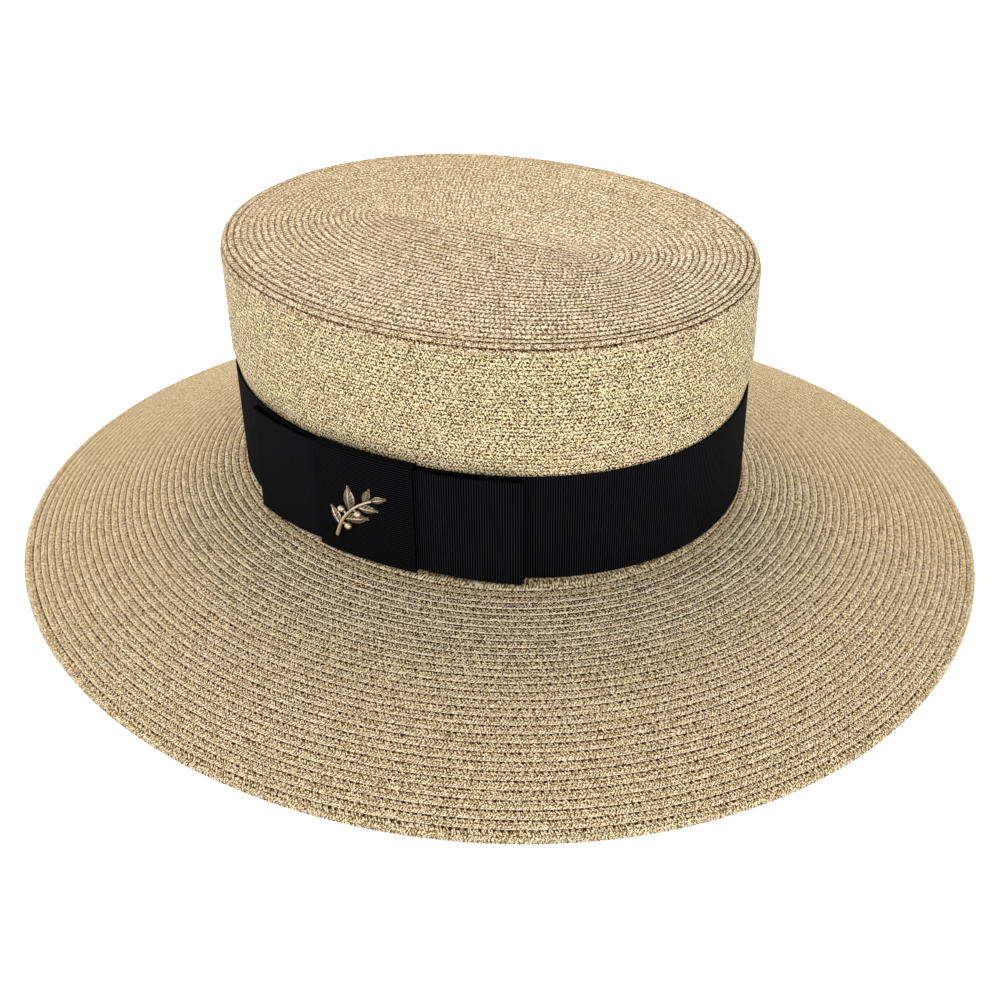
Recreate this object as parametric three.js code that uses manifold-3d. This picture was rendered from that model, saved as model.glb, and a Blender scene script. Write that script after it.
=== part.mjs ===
// Straw boater hat with a ribbon band, a flat bow on one side and a small metal sprig on the bow's knot.
//
// Millimetres, +Z up. The origin is the middle of the hat's footprint, on the surface that it stands on.
// The hat's length runs along Y with its front at -Y, and the bow is in the middle of the +X side.
//
// The hat is described in ovals. An angle of 0 is the +X side and 90 degrees is the back. Every piece is
// made with its heights counted from the headline, where the ribbon's lower edge meets the brim, and the
// last lines lift the whole hat until its brim stands on the surface. "Out" is the distance outward from
// the crown's side wall.

import * as THREE from 'three';
import { mergeVertices } from 'three/addons/utils/BufferGeometryUtils.js';
import Module from 'manifold-3d';

const wasm = await Module();
wasm.setup();

// Straw body
const STRAW_THICKNESS = 1.8;
const HEAD_HALF_LENGTH = 100.7;        // outside of the crown at the headline
const HEAD_HALF_WIDTH = 82.4;
const CROWN_TOP_HALF_LENGTH = 102.4;   // outside of the crown at the tip
const CROWN_TOP_HALF_WIDTH = 81.0;
const CROWN_HEIGHT = 92.0;             // headline to the top of the tip
const CROWN_SQUARENESS = 2.08;         // 2 is a true ellipse, more is squarer
const TIP_OVERHANG = 0.6;              // how far the tip's edge stands out past the side wall
const TIP_EDGE_RADIUS = 2.6;
const TIP_LIP_HEIGHT = 4.0;            // top of the tip to the lower edge of its turned-down lip
const RIM_HALF_LENGTH = 193.4;
const RIM_HALF_WIDTH = 179.0;
const RIM_SQUARENESS = 2.03;
const RIM_DROP = 32.5;                 // headline down to the rim, on average

// How the brim falls from the headline to its rim, every 45 degrees round the hat. The rim's drop is a
// share of RIM_DROP. The other two columns are the share of that drop reached at a third and at two
// thirds of the brim's width: a flat start gives small shares, a straight slope gives 0.333 and 0.667.
const BRIM_FALL = [
  { angle: 0, rimDrop: 1.022, atThird: 0.173, atTwoThirds: 0.451 },
  { angle: 45, rimDrop: 1.08, atThird: 0.117, atTwoThirds: 0.364 },
  { angle: 90, rimDrop: 0.978, atThird: 0.221, atTwoThirds: 0.501 },
  { angle: 135, rimDrop: 0.923, atThird: 0.312, atTwoThirds: 0.618 },
  { angle: 180, rimDrop: 1.022, atThird: 0.266, atTwoThirds: 0.568 },
  { angle: 225, rimDrop: 1.08, atThird: 0.223, atTwoThirds: 0.543 },
  { angle: 270, rimDrop: 0.978, atThird: 0.277, atTwoThirds: 0.637 },
  { angle: 315, rimDrop: 0.923, atThird: 0.285, atTwoThirds: 0.631 },
];

// Ribbon and bow
const CLEARANCE = 0.3;                 // between pieces that touch
const RIBBON_THICKNESS = 1.0;
const BAND_WIDTH = 42.0;
const KNOT_LENGTH = 42.0;              // along the band
const LOOP_REACH = 56.5;               // middle of the bow to a loop's fold
const LOOP_RIBBON_WIDTH = 45.2;
const LOOP_PINCH = 1.0;                // how much narrower the loops are inside the knot
const LOOP_PROUD = 6.2;                // outside of a loop's fold, out from the ribbon band
const LOOP_REST = 0.8;                 // inside of a loop's fold, out from the ribbon band
const KNOT_CORNER_RADIUS = 1.1;

// Metal sprig
const SPRIG_ALONG = -6.0;              // its middle, along the band from the middle of the bow
const SPRIG_HEIGHT = 18.5;             // its middle, above the headline
const SPRIG_STEM_LENGTH = 25.0;
const SPRIG_STEM_RADIUS = 0.75;
const SPRIG_TILT = 52;                 // degrees from the band's direction
const LEAF_LENGTH = 10.5;
const LEAF_WIDTH = 4.4;
const LEAF_THICKNESS = 1.2;
const BERRY_RADIUS = 1.35;

// One row a leaf: its place as a share of the stem, the side it grows on, its size as a share of the
// largest leaf, and its angle to the stem in degrees.
const LEAVES = [
  { alongStem: 0.2, side: 1, size: 0.78, angle: 48 },
  { alongStem: 0.36, side: -1, size: 1.0, angle: 44 },
  { alongStem: 0.54, side: 1, size: 1.0, angle: 42 },
  { alongStem: 0.7, side: -1, size: 0.82, angle: 38 },
  { alongStem: 0.84, side: 1, size: 0.66, angle: 34 },
  { alongStem: 0.97, side: -1, size: 0.6, angle: 6 },
];

// One row a berry: its place as a share of the stem, the side, and its stalk as a share of a leaf's length.
const BERRIES = [
  { alongStem: 0.27, side: -1, stalk: 0.3 },
  { alongStem: 0.45, side: 1, stalk: 0.27 },
  { alongStem: 0.62, side: -1, stalk: 0.25 },
];

// Steps round the hat and across the brim
const ROUND_STEPS = 96;
const BRIM_STEPS = 9;
const CORNER_STEPS = 3;

const radians = THREE.MathUtils.degToRad;
const lerp = THREE.MathUtils.lerp;

// A periodic curve through one column of BRIM_FALL.
function fallAt(column, angle) {
  const count = BRIM_FALL.length;
  let value = 0;
  for (const row of BRIM_FALL) {
    const turn = angle - radians(row.angle);
    const half = Math.sin(turn / 2);
    const weight = Math.abs(half) < 1e-9
      ? 1
      : Math.sin(count * turn / 2) * Math.cos(turn / 2) / (count * half);
    value += weight * row[column];
  }
  return value;
}

// Share of the rim's drop at a share of the brim's width: the cubic through the two columns.
function fallShare(angle, share) {
  const firstSag = 1 / 3 - fallAt('atThird', angle);
  const secondSag = 2 / 3 - fallAt('atTwoThirds', angle);
  const sag = (firstSag + secondSag) * 9 / 4;
  const skew = (firstSag - secondSag) * 27 / 4;
  return share - share * (1 - share) * (sag + skew * (1 - 2 * share));
}

function ovalPoint(halfWidth, halfLength, squareness, angle) {
  const bend = (value) => Math.sign(value) * Math.abs(value) ** (2 / squareness);
  return new THREE.Vector2(halfWidth * bend(Math.cos(angle)), halfLength * bend(Math.sin(angle)));
}

// A point beside the crown: angle round the hat, height above the headline, distance out from the wall.
function crownPoint(angle, height, out) {
  const rise = height / CROWN_HEIGHT;
  const halfWidth = lerp(HEAD_HALF_WIDTH, CROWN_TOP_HALF_WIDTH, rise) + out;
  const halfLength = lerp(HEAD_HALF_LENGTH, CROWN_TOP_HALF_LENGTH, rise) + out;
  const oval = ovalPoint(halfWidth, halfLength, CROWN_SQUARENESS, angle);
  return new THREE.Vector3(oval.x, oval.y, height);
}

// Distance along the ribbon band from the middle of the bow, against angle round the hat.
const BAND_OUT = CLEARANCE + RIBBON_THICKNESS;
const BAND_TABLE_STEP = radians(0.25);
const BAND_TABLE = [{ angle: 0, along: 0 }];
for (let angle = BAND_TABLE_STEP; angle <= Math.PI / 2; angle += BAND_TABLE_STEP) {
  const last = BAND_TABLE[BAND_TABLE.length - 1];
  const step = crownPoint(angle, 0, BAND_OUT).distanceTo(crownPoint(last.angle, 0, BAND_OUT));
  BAND_TABLE.push({ angle, along: last.along + step });
}

function bandAngle(along) {
  const distance = Math.abs(along);
  const next = BAND_TABLE.findIndex((row) => row.along >= distance);
  if (next < 1) return next === 0 ? 0 : Math.sign(along) * Math.PI / 2;
  const low = BAND_TABLE[next - 1];
  const high = BAND_TABLE[next];
  const share = (distance - low.along) / (high.along - low.along);
  return Math.sign(along) * lerp(low.angle, high.angle, share);
}

// A point on the bow: distance along the band, height above the headline, distance out from the band.
function bowPoint(along, height, out) {
  return crownPoint(bandAngle(along), height, BAND_OUT + out);
}

// A closed mesh through rings of points. The rings join up in a circle, or are capped at both ends.
function loft(rings, joined) {
  const points = rings.flat();
  const size = rings[0].length;
  const faces = [];
  const spans = joined ? rings.length : rings.length - 1;
  for (let i = 0; i < spans; i += 1) {
    const here = i * size;
    const there = ((i + 1) % rings.length) * size;
    for (let j = 0; j < size; j += 1) {
      const next = (j + 1) % size;
      faces.push(here + j, there + j, there + next, here + j, there + next, here + next);
    }
  }
  if (!joined) {
    capRing(points, faces, 0, size, false);
    capRing(points, faces, (rings.length - 1) * size, size, true);
  }
  const geometry = new THREE.BufferGeometry();
  geometry.setAttribute('position', new THREE.Float32BufferAttribute(points.flatMap((p) => [...p]), 3));
  geometry.setIndex(faces);
  return facingOut(geometry);
}

function capRing(points, faces, start, size, last) {
  const middle = new THREE.Vector3();
  for (let j = 0; j < size; j += 1) middle.addScaledVector(points[start + j], 1 / size);
  const centre = points.push(middle) - 1;
  for (let j = 0; j < size; j += 1) {
    const here = start + j;
    const next = start + (j + 1) % size;
    if (last) faces.push(centre, next, here);
    else faces.push(centre, here, next);
  }
}

// Turns a closed mesh's faces outward.
function facingOut(geometry) {
  const position = geometry.attributes.position;
  const index = geometry.index.array;
  const [a, b, c] = [new THREE.Vector3(), new THREE.Vector3(), new THREE.Vector3()];
  let volume = 0;
  for (let i = 0; i < index.length; i += 3) {
    a.fromBufferAttribute(position, index[i]);
    b.fromBufferAttribute(position, index[i + 1]);
    c.fromBufferAttribute(position, index[i + 2]);
    volume += a.dot(b.cross(c));
  }
  if (volume < 0) {
    for (let i = 0; i < index.length; i += 3) [index[i], index[i + 1]] = [index[i + 1], index[i]];
  }
  return geometry;
}

function roundAngles() {
  return Array.from({ length: ROUND_STEPS }, (_, i) => 2 * Math.PI * i / ROUND_STEPS);
}

// Crown tip: a flat oval lid with a rounded edge and a short lip over the side wall.
function crownTip() {
  const outer = [];
  const inner = [];
  const corner = { out: TIP_OVERHANG - TIP_EDGE_RADIUS, height: CROWN_HEIGHT - TIP_EDGE_RADIUS };
  const innerRadius = TIP_EDGE_RADIUS - STRAW_THICKNESS;
  for (let i = 0; i <= CORNER_STEPS; i += 1) {
    const turn = Math.PI / 2 * (1 - i / CORNER_STEPS);
    const [side, up] = [Math.cos(turn), Math.sin(turn)];
    outer.push([corner.out + TIP_EDGE_RADIUS * side, corner.height + TIP_EDGE_RADIUS * up]);
    inner.unshift([corner.out + innerRadius * side, corner.height + innerRadius * up]);
  }
  const lipHeight = CROWN_HEIGHT - TIP_LIP_HEIGHT;
  outer.push([TIP_OVERHANG, lipHeight]);
  inner.unshift([TIP_OVERHANG - STRAW_THICKNESS, lipHeight]);
  const rings = [...outer, ...inner].map(([out, height]) => (
    roundAngles().map((angle) => crownPoint(angle, CROWN_HEIGHT, out).setZ(height))
  ));
  return loft(rings, false);
}

// Crown side: an oval wall that stands on the brim and carries the tip's lip.
function crownSide() {
  const top = CROWN_HEIGHT - TIP_LIP_HEIGHT - CLEARANCE;
  return loft(roundAngles().map((angle) => [
    crownPoint(angle, 0, 0),
    crownPoint(angle, top, 0),
    crownPoint(angle, top, -STRAW_THICKNESS),
    crownPoint(angle, 0, -STRAW_THICKNESS),
  ]), true);
}

// A point on the brim's upper face. Share 0 is under the inner face of the crown's wall, 1 is the rim.
function brimTop(angle, share) {
  const start = ovalPoint(HEAD_HALF_WIDTH - STRAW_THICKNESS, HEAD_HALF_LENGTH - STRAW_THICKNESS,
    CROWN_SQUARENESS, angle);
  const end = ovalPoint(RIM_HALF_WIDTH, RIM_HALF_LENGTH, RIM_SQUARENESS, angle);
  const place = start.clone().lerp(end, share);
  const foot = (STRAW_THICKNESS + BAND_OUT) / start.distanceTo(end);
  const slope = Math.max(0, (share - foot) / (1 - foot));
  const drop = RIM_DROP * fallAt('rimDrop', angle) * fallShare(angle, slope) + CLEARANCE;
  return new THREE.Vector3(place.x, place.y, -drop);
}

// Brim: a falling oval ring of even thickness. Its underside is set off square to its upper face.
function brim() {
  return loft(roundAngles().map((angle) => {
    const upper = [];
    const under = [];
    for (let i = 0; i <= BRIM_STEPS; i += 1) {
      const share = i / BRIM_STEPS;
      const point = brimTop(angle, share);
      const before = brimTop(angle, Math.max(0, share - 0.01));
      const after = brimTop(angle, Math.min(1, share + 0.01));
      const along = after.sub(before);
      const run = Math.hypot(along.x, along.y);
      const down = new THREE.Vector3(along.x * along.z / run, along.y * along.z / run, -run);
      upper.push(point);
      under.unshift(point.clone().addScaledVector(down.normalize(), STRAW_THICKNESS));
    }
    return [...upper, ...under];
  }), true);
}

// Ribbon band: a closed ring of ribbon round the foot of the crown.
function ribbonBand() {
  return loft(roundAngles().map((angle) => [
    crownPoint(angle, 0, BAND_OUT),
    crownPoint(angle, BAND_WIDTH, BAND_OUT),
    crownPoint(angle, BAND_WIDTH, CLEARANCE),
    crownPoint(angle, 0, CLEARANCE),
  ]), true);
}

// The bow's layers, out from the band: the back of the knot, the loop's two layers, the knot's front.
const LAYER_PITCH = RIBBON_THICKNESS + CLEARANCE;
const LOOP_INNER_OUT = CLEARANCE + LAYER_PITCH + RIBBON_THICKNESS / 2;
const LOOP_OUTER_OUT = LOOP_INNER_OUT + LAYER_PITCH;
const KNOT_DEPTH = 3 * LAYER_PITCH + RIBBON_THICKNESS;
const KNOT_HEIGHT = LOOP_RIBBON_WIDTH - LOOP_PINCH + 2 * LAYER_PITCH;

// Middle line of a loop's ribbon, from under the knot along the band, round the fold and back.
function loopPath() {
  const innerEnd = LOOP_REST + RIBBON_THICKNESS / 2;
  const outerEnd = LOOP_PROUD - RIBBON_THICKNESS / 2;
  const foldRadius = (outerEnd - innerEnd) / 2;
  const foldAlong = LOOP_REACH - RIBBON_THICKNESS / 2 - foldRadius;
  const start = CLEARANCE;
  const mouth = KNOT_LENGTH / 2;
  const settle = lerp(mouth, foldAlong, 0.35);
  const path = [
    [start, LOOP_INNER_OUT],
    [mouth / 2, LOOP_INNER_OUT],
    [mouth, LOOP_INNER_OUT],
    [settle, innerEnd],
    [lerp(settle, foldAlong, 0.5), innerEnd],
  ];
  const foldSteps = 6;
  for (let i = 0; i <= foldSteps; i += 1) {
    const turn = Math.PI * (i / foldSteps - 0.5);
    path.push([foldAlong + foldRadius * Math.cos(turn), innerEnd + foldRadius * (1 + Math.sin(turn))]);
  }
  const leave = lerp(mouth, foldAlong, 0.08);
  const outerAt = (along) => lerp(LOOP_OUTER_OUT, outerEnd, (along - leave) / (foldAlong - leave));
  for (const share of [0.7, 0.4]) {
    const along = lerp(leave, foldAlong, share);
    path.push([along, outerAt(along)]);
  }
  path.push([leave, LOOP_OUTER_OUT], [mouth / 2, LOOP_OUTER_OUT], [start, LOOP_OUTER_OUT]);
  return path.map(([along, out]) => new THREE.Vector2(along, out));
}

// A bow loop: ribbon of even thickness swept along the loop's path, on one side of the knot.
function bowLoop(side) {
  const path = loopPath();
  const pinchedLow = LAYER_PITCH;
  const freeLow = CLEARANCE;
  return loft(path.map((point, i) => {
    const before = path[Math.max(0, i - 1)];
    const after = path[Math.min(path.length - 1, i + 1)];
    const along = after.clone().sub(before).normalize();
    const across = new THREE.Vector2(-along.y, along.x).multiplyScalar(RIBBON_THICKNESS / 2);
    const free = THREE.MathUtils.smoothstep(point.x, KNOT_LENGTH / 2, LOOP_REACH);
    const low = lerp(pinchedLow, freeLow, free);
    const high = low + lerp(LOOP_RIBBON_WIDTH - LOOP_PINCH, LOOP_RIBBON_WIDTH, free);
    const [near, far] = [point.clone().sub(across), point.clone().add(across)];
    return [
      bowPoint(side * near.x, low, near.y),
      bowPoint(side * near.x, high, near.y),
      bowPoint(side * far.x, high, far.y),
      bowPoint(side * far.x, low, far.y),
    ];
  }), false);
}

// Outline of the knot's strap seen from its end, as [height, out], inset by a distance.
function knotOutline(inset) {
  const radius = KNOT_CORNER_RADIUS - inset * 0.5;
  const [low, high] = [inset, KNOT_HEIGHT - inset];
  const [back, front] = [CLEARANCE + inset, CLEARANCE + KNOT_DEPTH - inset];
  const corners = [
    { height: high - radius, out: front - radius, start: 0 },
    { height: low + radius, out: front - radius, start: 90 },
    { height: low + radius, out: back + radius, start: 180 },
    { height: high - radius, out: back + radius, start: 270 },
  ];
  return corners.flatMap(({ height, out, start }) => [0, 45, 90].map((turn) => {
    const angle = radians(start + turn);
    return [height + radius * Math.cos(angle), out + radius * Math.sin(angle)];
  }));
}

// Bow knot: a strap wrapped round the loops' inner ends, up the front and down the back.
function bowKnot() {
  const outside = knotOutline(0);
  const inside = knotOutline(RIBBON_THICKNESS);
  const steps = 8;
  const places = Array.from({ length: steps + 1 }, (_, i) => KNOT_LENGTH * (i / steps - 0.5));
  return loft(outside.map(([height, out], i) => [
    ...places.map((along) => bowPoint(along, height, out)),
    ...places.toReversed().map((along) => bowPoint(along, inside[i][0], inside[i][1])),
  ]), true);
}

// Welds a three.js primitive's seams, so that it is one closed mesh.
function welded(geometry) {
  geometry.deleteAttribute('normal');
  geometry.deleteAttribute('uv');
  return mergeVertices(geometry, 1e-4);
}

function toManifold(geometry) {
  return new wasm.Manifold(new wasm.Mesh({
    numProp: 3,
    vertProperties: new Float32Array(geometry.attributes.position.array),
    triVerts: new Uint32Array(geometry.index.array),
  }));
}

function fromManifold(solid) {
  const mesh = solid.getMesh();
  const geometry = new THREE.BufferGeometry();
  geometry.setAttribute('position', new THREE.BufferAttribute(mesh.vertProperties, 3));
  geometry.setIndex(new THREE.BufferAttribute(mesh.triVerts, 1));
  return geometry;
}

// The sprig lies in a plane while it is made: x along its stem, y across it, z out from the knot.
const SPRIG_BOW = 0.12;                // the stem's bend, as a share of its length
const STALK_SHARE = 0.6;               // a stalk's radius, as a share of the stem's

function stemPoint(share) {
  const x = (share - 0.5) * SPRIG_STEM_LENGTH;
  const y = SPRIG_BOW * SPRIG_STEM_LENGTH * (4 * share * (1 - share) - 0.6);
  return new THREE.Vector3(x, y, SPRIG_STEM_RADIUS);
}

function stemDirection(share) {
  return stemPoint(share + 0.01).sub(stemPoint(share - 0.01)).normalize();
}

function sprigStem() {
  const rings = [];
  const steps = 10;
  for (let i = 0; i <= steps; i += 1) {
    const share = i / steps;
    const middle = stemPoint(share);
    const along = stemDirection(share);
    const across = new THREE.Vector3(-along.y, along.x, 0);
    const radius = SPRIG_STEM_RADIUS * lerp(1, 0.6, share);
    rings.push([0, 60, 120, 180, 240, 300].map((turn) => {
      const angle = radians(turn);
      return middle.clone()
        .addScaledVector(across, radius * Math.cos(angle))
        .add(new THREE.Vector3(0, 0, radius * Math.sin(angle)));
    }));
  }
  return loft(rings, false);
}

// A leaf: pointed at both ends, flat behind, with a raised midrib in front.
function sprigLeaf({ alongStem, side, size, angle }) {
  const length = LEAF_LENGTH * size;
  const root = stemPoint(alongStem);
  const direction = stemDirection(alongStem).applyAxisAngle(new THREE.Vector3(0, 0, 1), side * radians(angle));
  const across = new THREE.Vector3(-direction.y, direction.x, 0);
  const rings = [];
  const steps = 6;
  for (let i = 0; i <= steps; i += 1) {
    const share = lerp(0.02, 0.98, i / steps);
    const half = LEAF_WIDTH / 2 * size * Math.sin(Math.PI * share ** 0.85);
    const ribHeight = LEAF_THICKNESS * (0.75 + 0.35 * Math.sin(Math.PI * share));
    const middle = root.clone().addScaledVector(direction, share * length);
    const at = (offset, height) => middle.clone().addScaledVector(across, offset).setZ(height);
    rings.push([
      at(-half, 0),
      at(-half, LEAF_THICKNESS * 0.45),
      at(-half * 0.45, LEAF_THICKNESS * 0.8),
      at(0, ribHeight),
      at(half * 0.45, LEAF_THICKNESS * 0.8),
      at(half, LEAF_THICKNESS * 0.45),
      at(half, 0),
    ]);
  }
  return loft(rings, false);
}

function sprigBerry({ alongStem, side, stalk }) {
  const away = stemDirection(alongStem).applyAxisAngle(new THREE.Vector3(0, 0, 1), side * radians(70));
  const middle = stemPoint(alongStem).addScaledVector(away, stalk * LEAF_LENGTH).setZ(BERRY_RADIUS * 0.85);
  return welded(new THREE.SphereGeometry(BERRY_RADIUS, 12, 8)).translate(middle.x, middle.y, middle.z);
}

function berryStalk({ alongStem, side, stalk }) {
  const away = stemDirection(alongStem).applyAxisAngle(new THREE.Vector3(0, 0, 1), side * radians(70));
  const root = stemPoint(alongStem);
  const length = stalk * LEAF_LENGTH;
  const radius = SPRIG_STEM_RADIUS * STALK_SHARE;
  const rod = welded(new THREE.CylinderGeometry(radius, radius, length, 6));
  rod.rotateZ(-Math.PI / 2).translate(length / 2, 0, 0).rotateZ(Math.atan2(away.y, away.x));
  return rod.translate(root.x, root.y, root.z);
}

// Metal sprig: stem, leaves and berries cast in one, bent to the curve of the knot.
function metalSprig() {
  const pieces = [
    sprigStem(),
    ...LEAVES.map(sprigLeaf),
    ...BERRIES.flatMap((berry) => [berryStalk(berry), sprigBerry(berry)]),
  ];
  const flat = pieces.map(toManifold).reduce((whole, piece) => whole.add(piece));
  const geometry = fromManifold(flat);
  geometry.rotateZ(radians(SPRIG_TILT));
  const position = geometry.attributes.position;
  const lowest = Math.min(...Array.from({ length: position.count }, (_, i) => position.getZ(i)));
  const seat = CLEARANCE + KNOT_DEPTH + CLEARANCE - lowest;
  for (let i = 0; i < position.count; i += 1) {
    const along = SPRIG_ALONG + position.getX(i);
    const point = bowPoint(along, SPRIG_HEIGHT + position.getY(i), seat + position.getZ(i));
    position.setXYZ(i, point.x, point.y, point.z);
  }
  return facingOut(geometry);
}

const straw = () => new THREE.MeshStandardMaterial({ color: 0xc6ae84, roughness: 0.55, metalness: 0.1 });
const ribbon = () => new THREE.MeshStandardMaterial({ color: 0x0b0c10, roughness: 0.75, metalness: 0 });
const metal = () => new THREE.MeshStandardMaterial({ color: 0xb59a68, roughness: 0.35, metalness: 1 });

function piece(name, geometry, material) {
  const mesh = new THREE.Mesh(geometry, material);
  mesh.name = name;
  return mesh;
}

const hat = new THREE.Group();
hat.add(piece('crown_tip', crownTip(), straw()));
hat.add(piece('crown_side', crownSide(), straw()));
hat.add(piece('brim', brim(), straw()));
hat.add(piece('ribbon_band', ribbonBand(), ribbon()));
hat.add(piece('bow_loop_front', bowLoop(-1), ribbon()));
hat.add(piece('bow_loop_back', bowLoop(1), ribbon()));
hat.add(piece('bow_knot', bowKnot(), ribbon()));
hat.add(piece('sprig', metalSprig(), metal()));
hat.position.z = -new THREE.Box3().setFromObject(hat).min.z;

export default hat;
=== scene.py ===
import math
from functools import partial

import bpy
import numpy as np
from mathutils import Matrix, Vector


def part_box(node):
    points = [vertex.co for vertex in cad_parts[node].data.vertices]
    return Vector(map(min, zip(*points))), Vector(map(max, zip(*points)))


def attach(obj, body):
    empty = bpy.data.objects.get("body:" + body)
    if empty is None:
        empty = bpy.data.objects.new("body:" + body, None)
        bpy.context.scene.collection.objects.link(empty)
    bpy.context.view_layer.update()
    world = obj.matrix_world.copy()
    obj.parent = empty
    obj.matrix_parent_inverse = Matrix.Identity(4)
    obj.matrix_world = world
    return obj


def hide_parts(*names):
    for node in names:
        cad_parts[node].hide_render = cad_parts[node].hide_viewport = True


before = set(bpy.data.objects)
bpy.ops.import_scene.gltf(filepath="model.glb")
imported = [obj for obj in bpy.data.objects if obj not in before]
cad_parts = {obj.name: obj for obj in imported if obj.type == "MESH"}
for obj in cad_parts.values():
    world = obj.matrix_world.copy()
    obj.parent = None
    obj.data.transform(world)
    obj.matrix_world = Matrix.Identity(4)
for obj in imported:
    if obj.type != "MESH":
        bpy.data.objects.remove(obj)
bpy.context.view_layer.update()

bl_info = {
    "name": "Straw boater hat",
    "version": (1, 0, 0),
    "blender": (4, 5, 0),
    "location": "3D view > Sidebar > Boater",
    "description": "A sewn straw-braid boater with a ribbon band, a flat bow and a metal sprig",
    "category": "Object",
}

# The hat's length runs along Y with its front at -Y, and the bow is in the middle of the +X side.
# An angle of 0 is the +X side and a quarter turn is the back. Heights are counted from the headline,
# where the ribbon's lower edge meets the brim, and "out" is the distance outward from the crown's wall.
# The sizes below are the CAD part's.
MM = 0.001
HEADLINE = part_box("crown_side")[0].z
CROWN_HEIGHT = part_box("crown_tip")[1].z - HEADLINE
RIM_HALF_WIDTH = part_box("brim")[1].x
RIM_HALF_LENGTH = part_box("brim")[1].y
BAND_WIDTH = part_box("ribbon_band")[1].z - HEADLINE
HEAD_HALF_WIDTH = 82.4 * MM
HEAD_HALF_LENGTH = 100.7 * MM
CROWN_TOP_HALF_WIDTH = 81.0 * MM
CROWN_TOP_HALF_LENGTH = 102.4 * MM
CROWN_SQUARENESS = 2.08
RIM_SQUARENESS = 2.03
RIM_DROP = 32.5 * MM
TIP_OVERHANG = 0.6 * MM
TIP_EDGE_RADIUS = 2.6 * MM
TIP_LIP_HEIGHT = 4.0 * MM
CLEARANCE = 0.3 * MM
CAD_STRAW = 1.8 * MM
CAD_RIBBON = 1.0 * MM
BAND_OUT = CLEARANCE + CAD_RIBBON
LAYER_PITCH = CAD_RIBBON + CLEARANCE

# How the brim falls, every 45 degrees round the hat: the rim's drop as a share of RIM_DROP, and the
# share of that drop reached at a third and at two thirds of the brim's width.
BRIM_FALL = np.array([
    (1.022, 0.173, 0.451),
    (1.080, 0.117, 0.364),
    (0.978, 0.221, 0.501),
    (0.923, 0.312, 0.618),
    (1.022, 0.266, 0.568),
    (1.080, 0.223, 0.543),
    (0.978, 0.277, 0.637),
    (0.923, 0.285, 0.631),
])

# One row of sewn braid in section: the place across the row and the height, as a share of the relief.
# Each row rises to its outer edge, which lies over the next row.
FLUSH = 0.8                    # the height that lies on the hat's surface
ROW_SECTION = ((0.035, 0.0), (0.42, 0.42), (0.86, 1.0), (1.0, FLUSH))
ROW_WIDTH = 3.09 * MM          # visible width of a brim row, along the slope
BRIM_ROWS = 32
BRIM_LAST_ROW = 1.3            # width of the rim's row, in rows
SIDE_ROWS = 28
TIP_ROWS = 29
TIP_LIP_ROW = 3.1 * MM         # width of the row that forms the tip's lip
TIP_CENTRE_LINE = (-36 * MM, 38 * MM)   # ends of the line that the tip's rows run round
TIP_DOME = 1.6 * MM            # rise of the tip from its edge
TIP_SHOULDER = 18.0 * MM       # width of that rise
# The crown's straw swells out a little above its ribbon, as the outline in the reference photo shows.
SIDE_SWELL = 2.2 * MM
TIP_SWELL = 1.3 * MM
SWELL_MORE = 0.35 * MM         # added at the angle SWELL_MOST, and taken off opposite it
SWELL_MOST = math.radians(120)
SWELL_LEAST_AT = math.radians(30)   # the angle that the reference photo is taken from
SWELL_LEAST = 0.3              # share of the swell that is left there
SWELL_HEIGHTS = (40 * MM, 51 * MM)   # where the side wall starts to swell, and where it has swollen fully

RIB_STEPS = 4                  # columns of faces for each rib of the ribbon
RIB_ROUNDING = 0.8
# The bow: places along the band from its middle, heights, and distances out from the band.
KNOT_LENGTH = 39.0 * MM
KNOT_HEIGHT = 43.9 * MM
KNOT_SHIFT = -1.3 * MM         # the knot's middle, along the band
KNOT_CORNER = 1.1 * MM
KNOT_RIBS_WIDER = 1.09
LOOP_REACH = 56.5 * MM
FRONT_LOOP_REACH = 57.7 * MM
LOOP_RIBBON_WIDTH = 42.2 * MM
LOOP_PINCH = 1.0 * MM          # how much narrower a loop is at the knot
LOOP_PROUD = 4.6 * MM          # how far its fold stands out
LOOP_REST = 0.8 * MM
LOOP_DIP = 0.5 * MM
LOOP_SETTLES, LOOP_LEAVES = 0.35, 0.15   # where its two layers bend, from the knot to the fold
LOOP_INNER_OUT = CLEARANCE + LAYER_PITCH + CAD_RIBBON / 2
LOOP_OUTER_OUT = LOOP_INNER_OUT + LAYER_PITCH
KNOT_DEPTH = 3 * LAYER_PITCH + CAD_RIBBON

STEM_LENGTH = 25.0 * MM
STEM_RADIUS = 0.75 * MM
STEM_BOW = 0.12                # the stem's bend, as a share of its length
LEAF_LENGTH = 10.5 * MM
LEAF_WIDTH = 4.4 * MM
LEAF_RISE = 1.5 * MM
LEAF_WALL = 0.5 * MM
BERRY_RADIUS = 1.35 * MM
BERRY_ANGLE = 70               # a berry's stalk to the stem, in degrees
# Each leaf's place along the stem, the side it grows on, its size and its angle to the stem in degrees.
LEAVES = (
    (0.2, 1, 0.78, 48), (0.36, -1, 1.0, 44), (0.54, 1, 1.0, 42), (0.7, -1, 0.82, 38), (0.84, 1, 0.66, 34),
    (0.97, -1, 0.6, 6))
# Each berry's place along the stem, its side, and its stalk as a share of a leaf's length.
BERRIES = ((0.27, -1, 0.3), (0.45, 1, 0.27), (0.62, -1, 0.25))

WELD = 1e-6                    # points closer than this, in metres, are made one
SMALL_STEP, SMALL_TURN = 0.02, 0.002   # steps that give a surface's direction, in rows and in radians


def linear(hex_colour):
    """The linear colour of an sRGB hex value."""
    channels = [int(hex_colour[i:i + 2], 16) / 255 for i in (1, 3, 5)]
    return [c / 12.92 if c <= 0.04045 else ((c + 0.055) / 1.055) ** 2.4 for c in channels]


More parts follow.
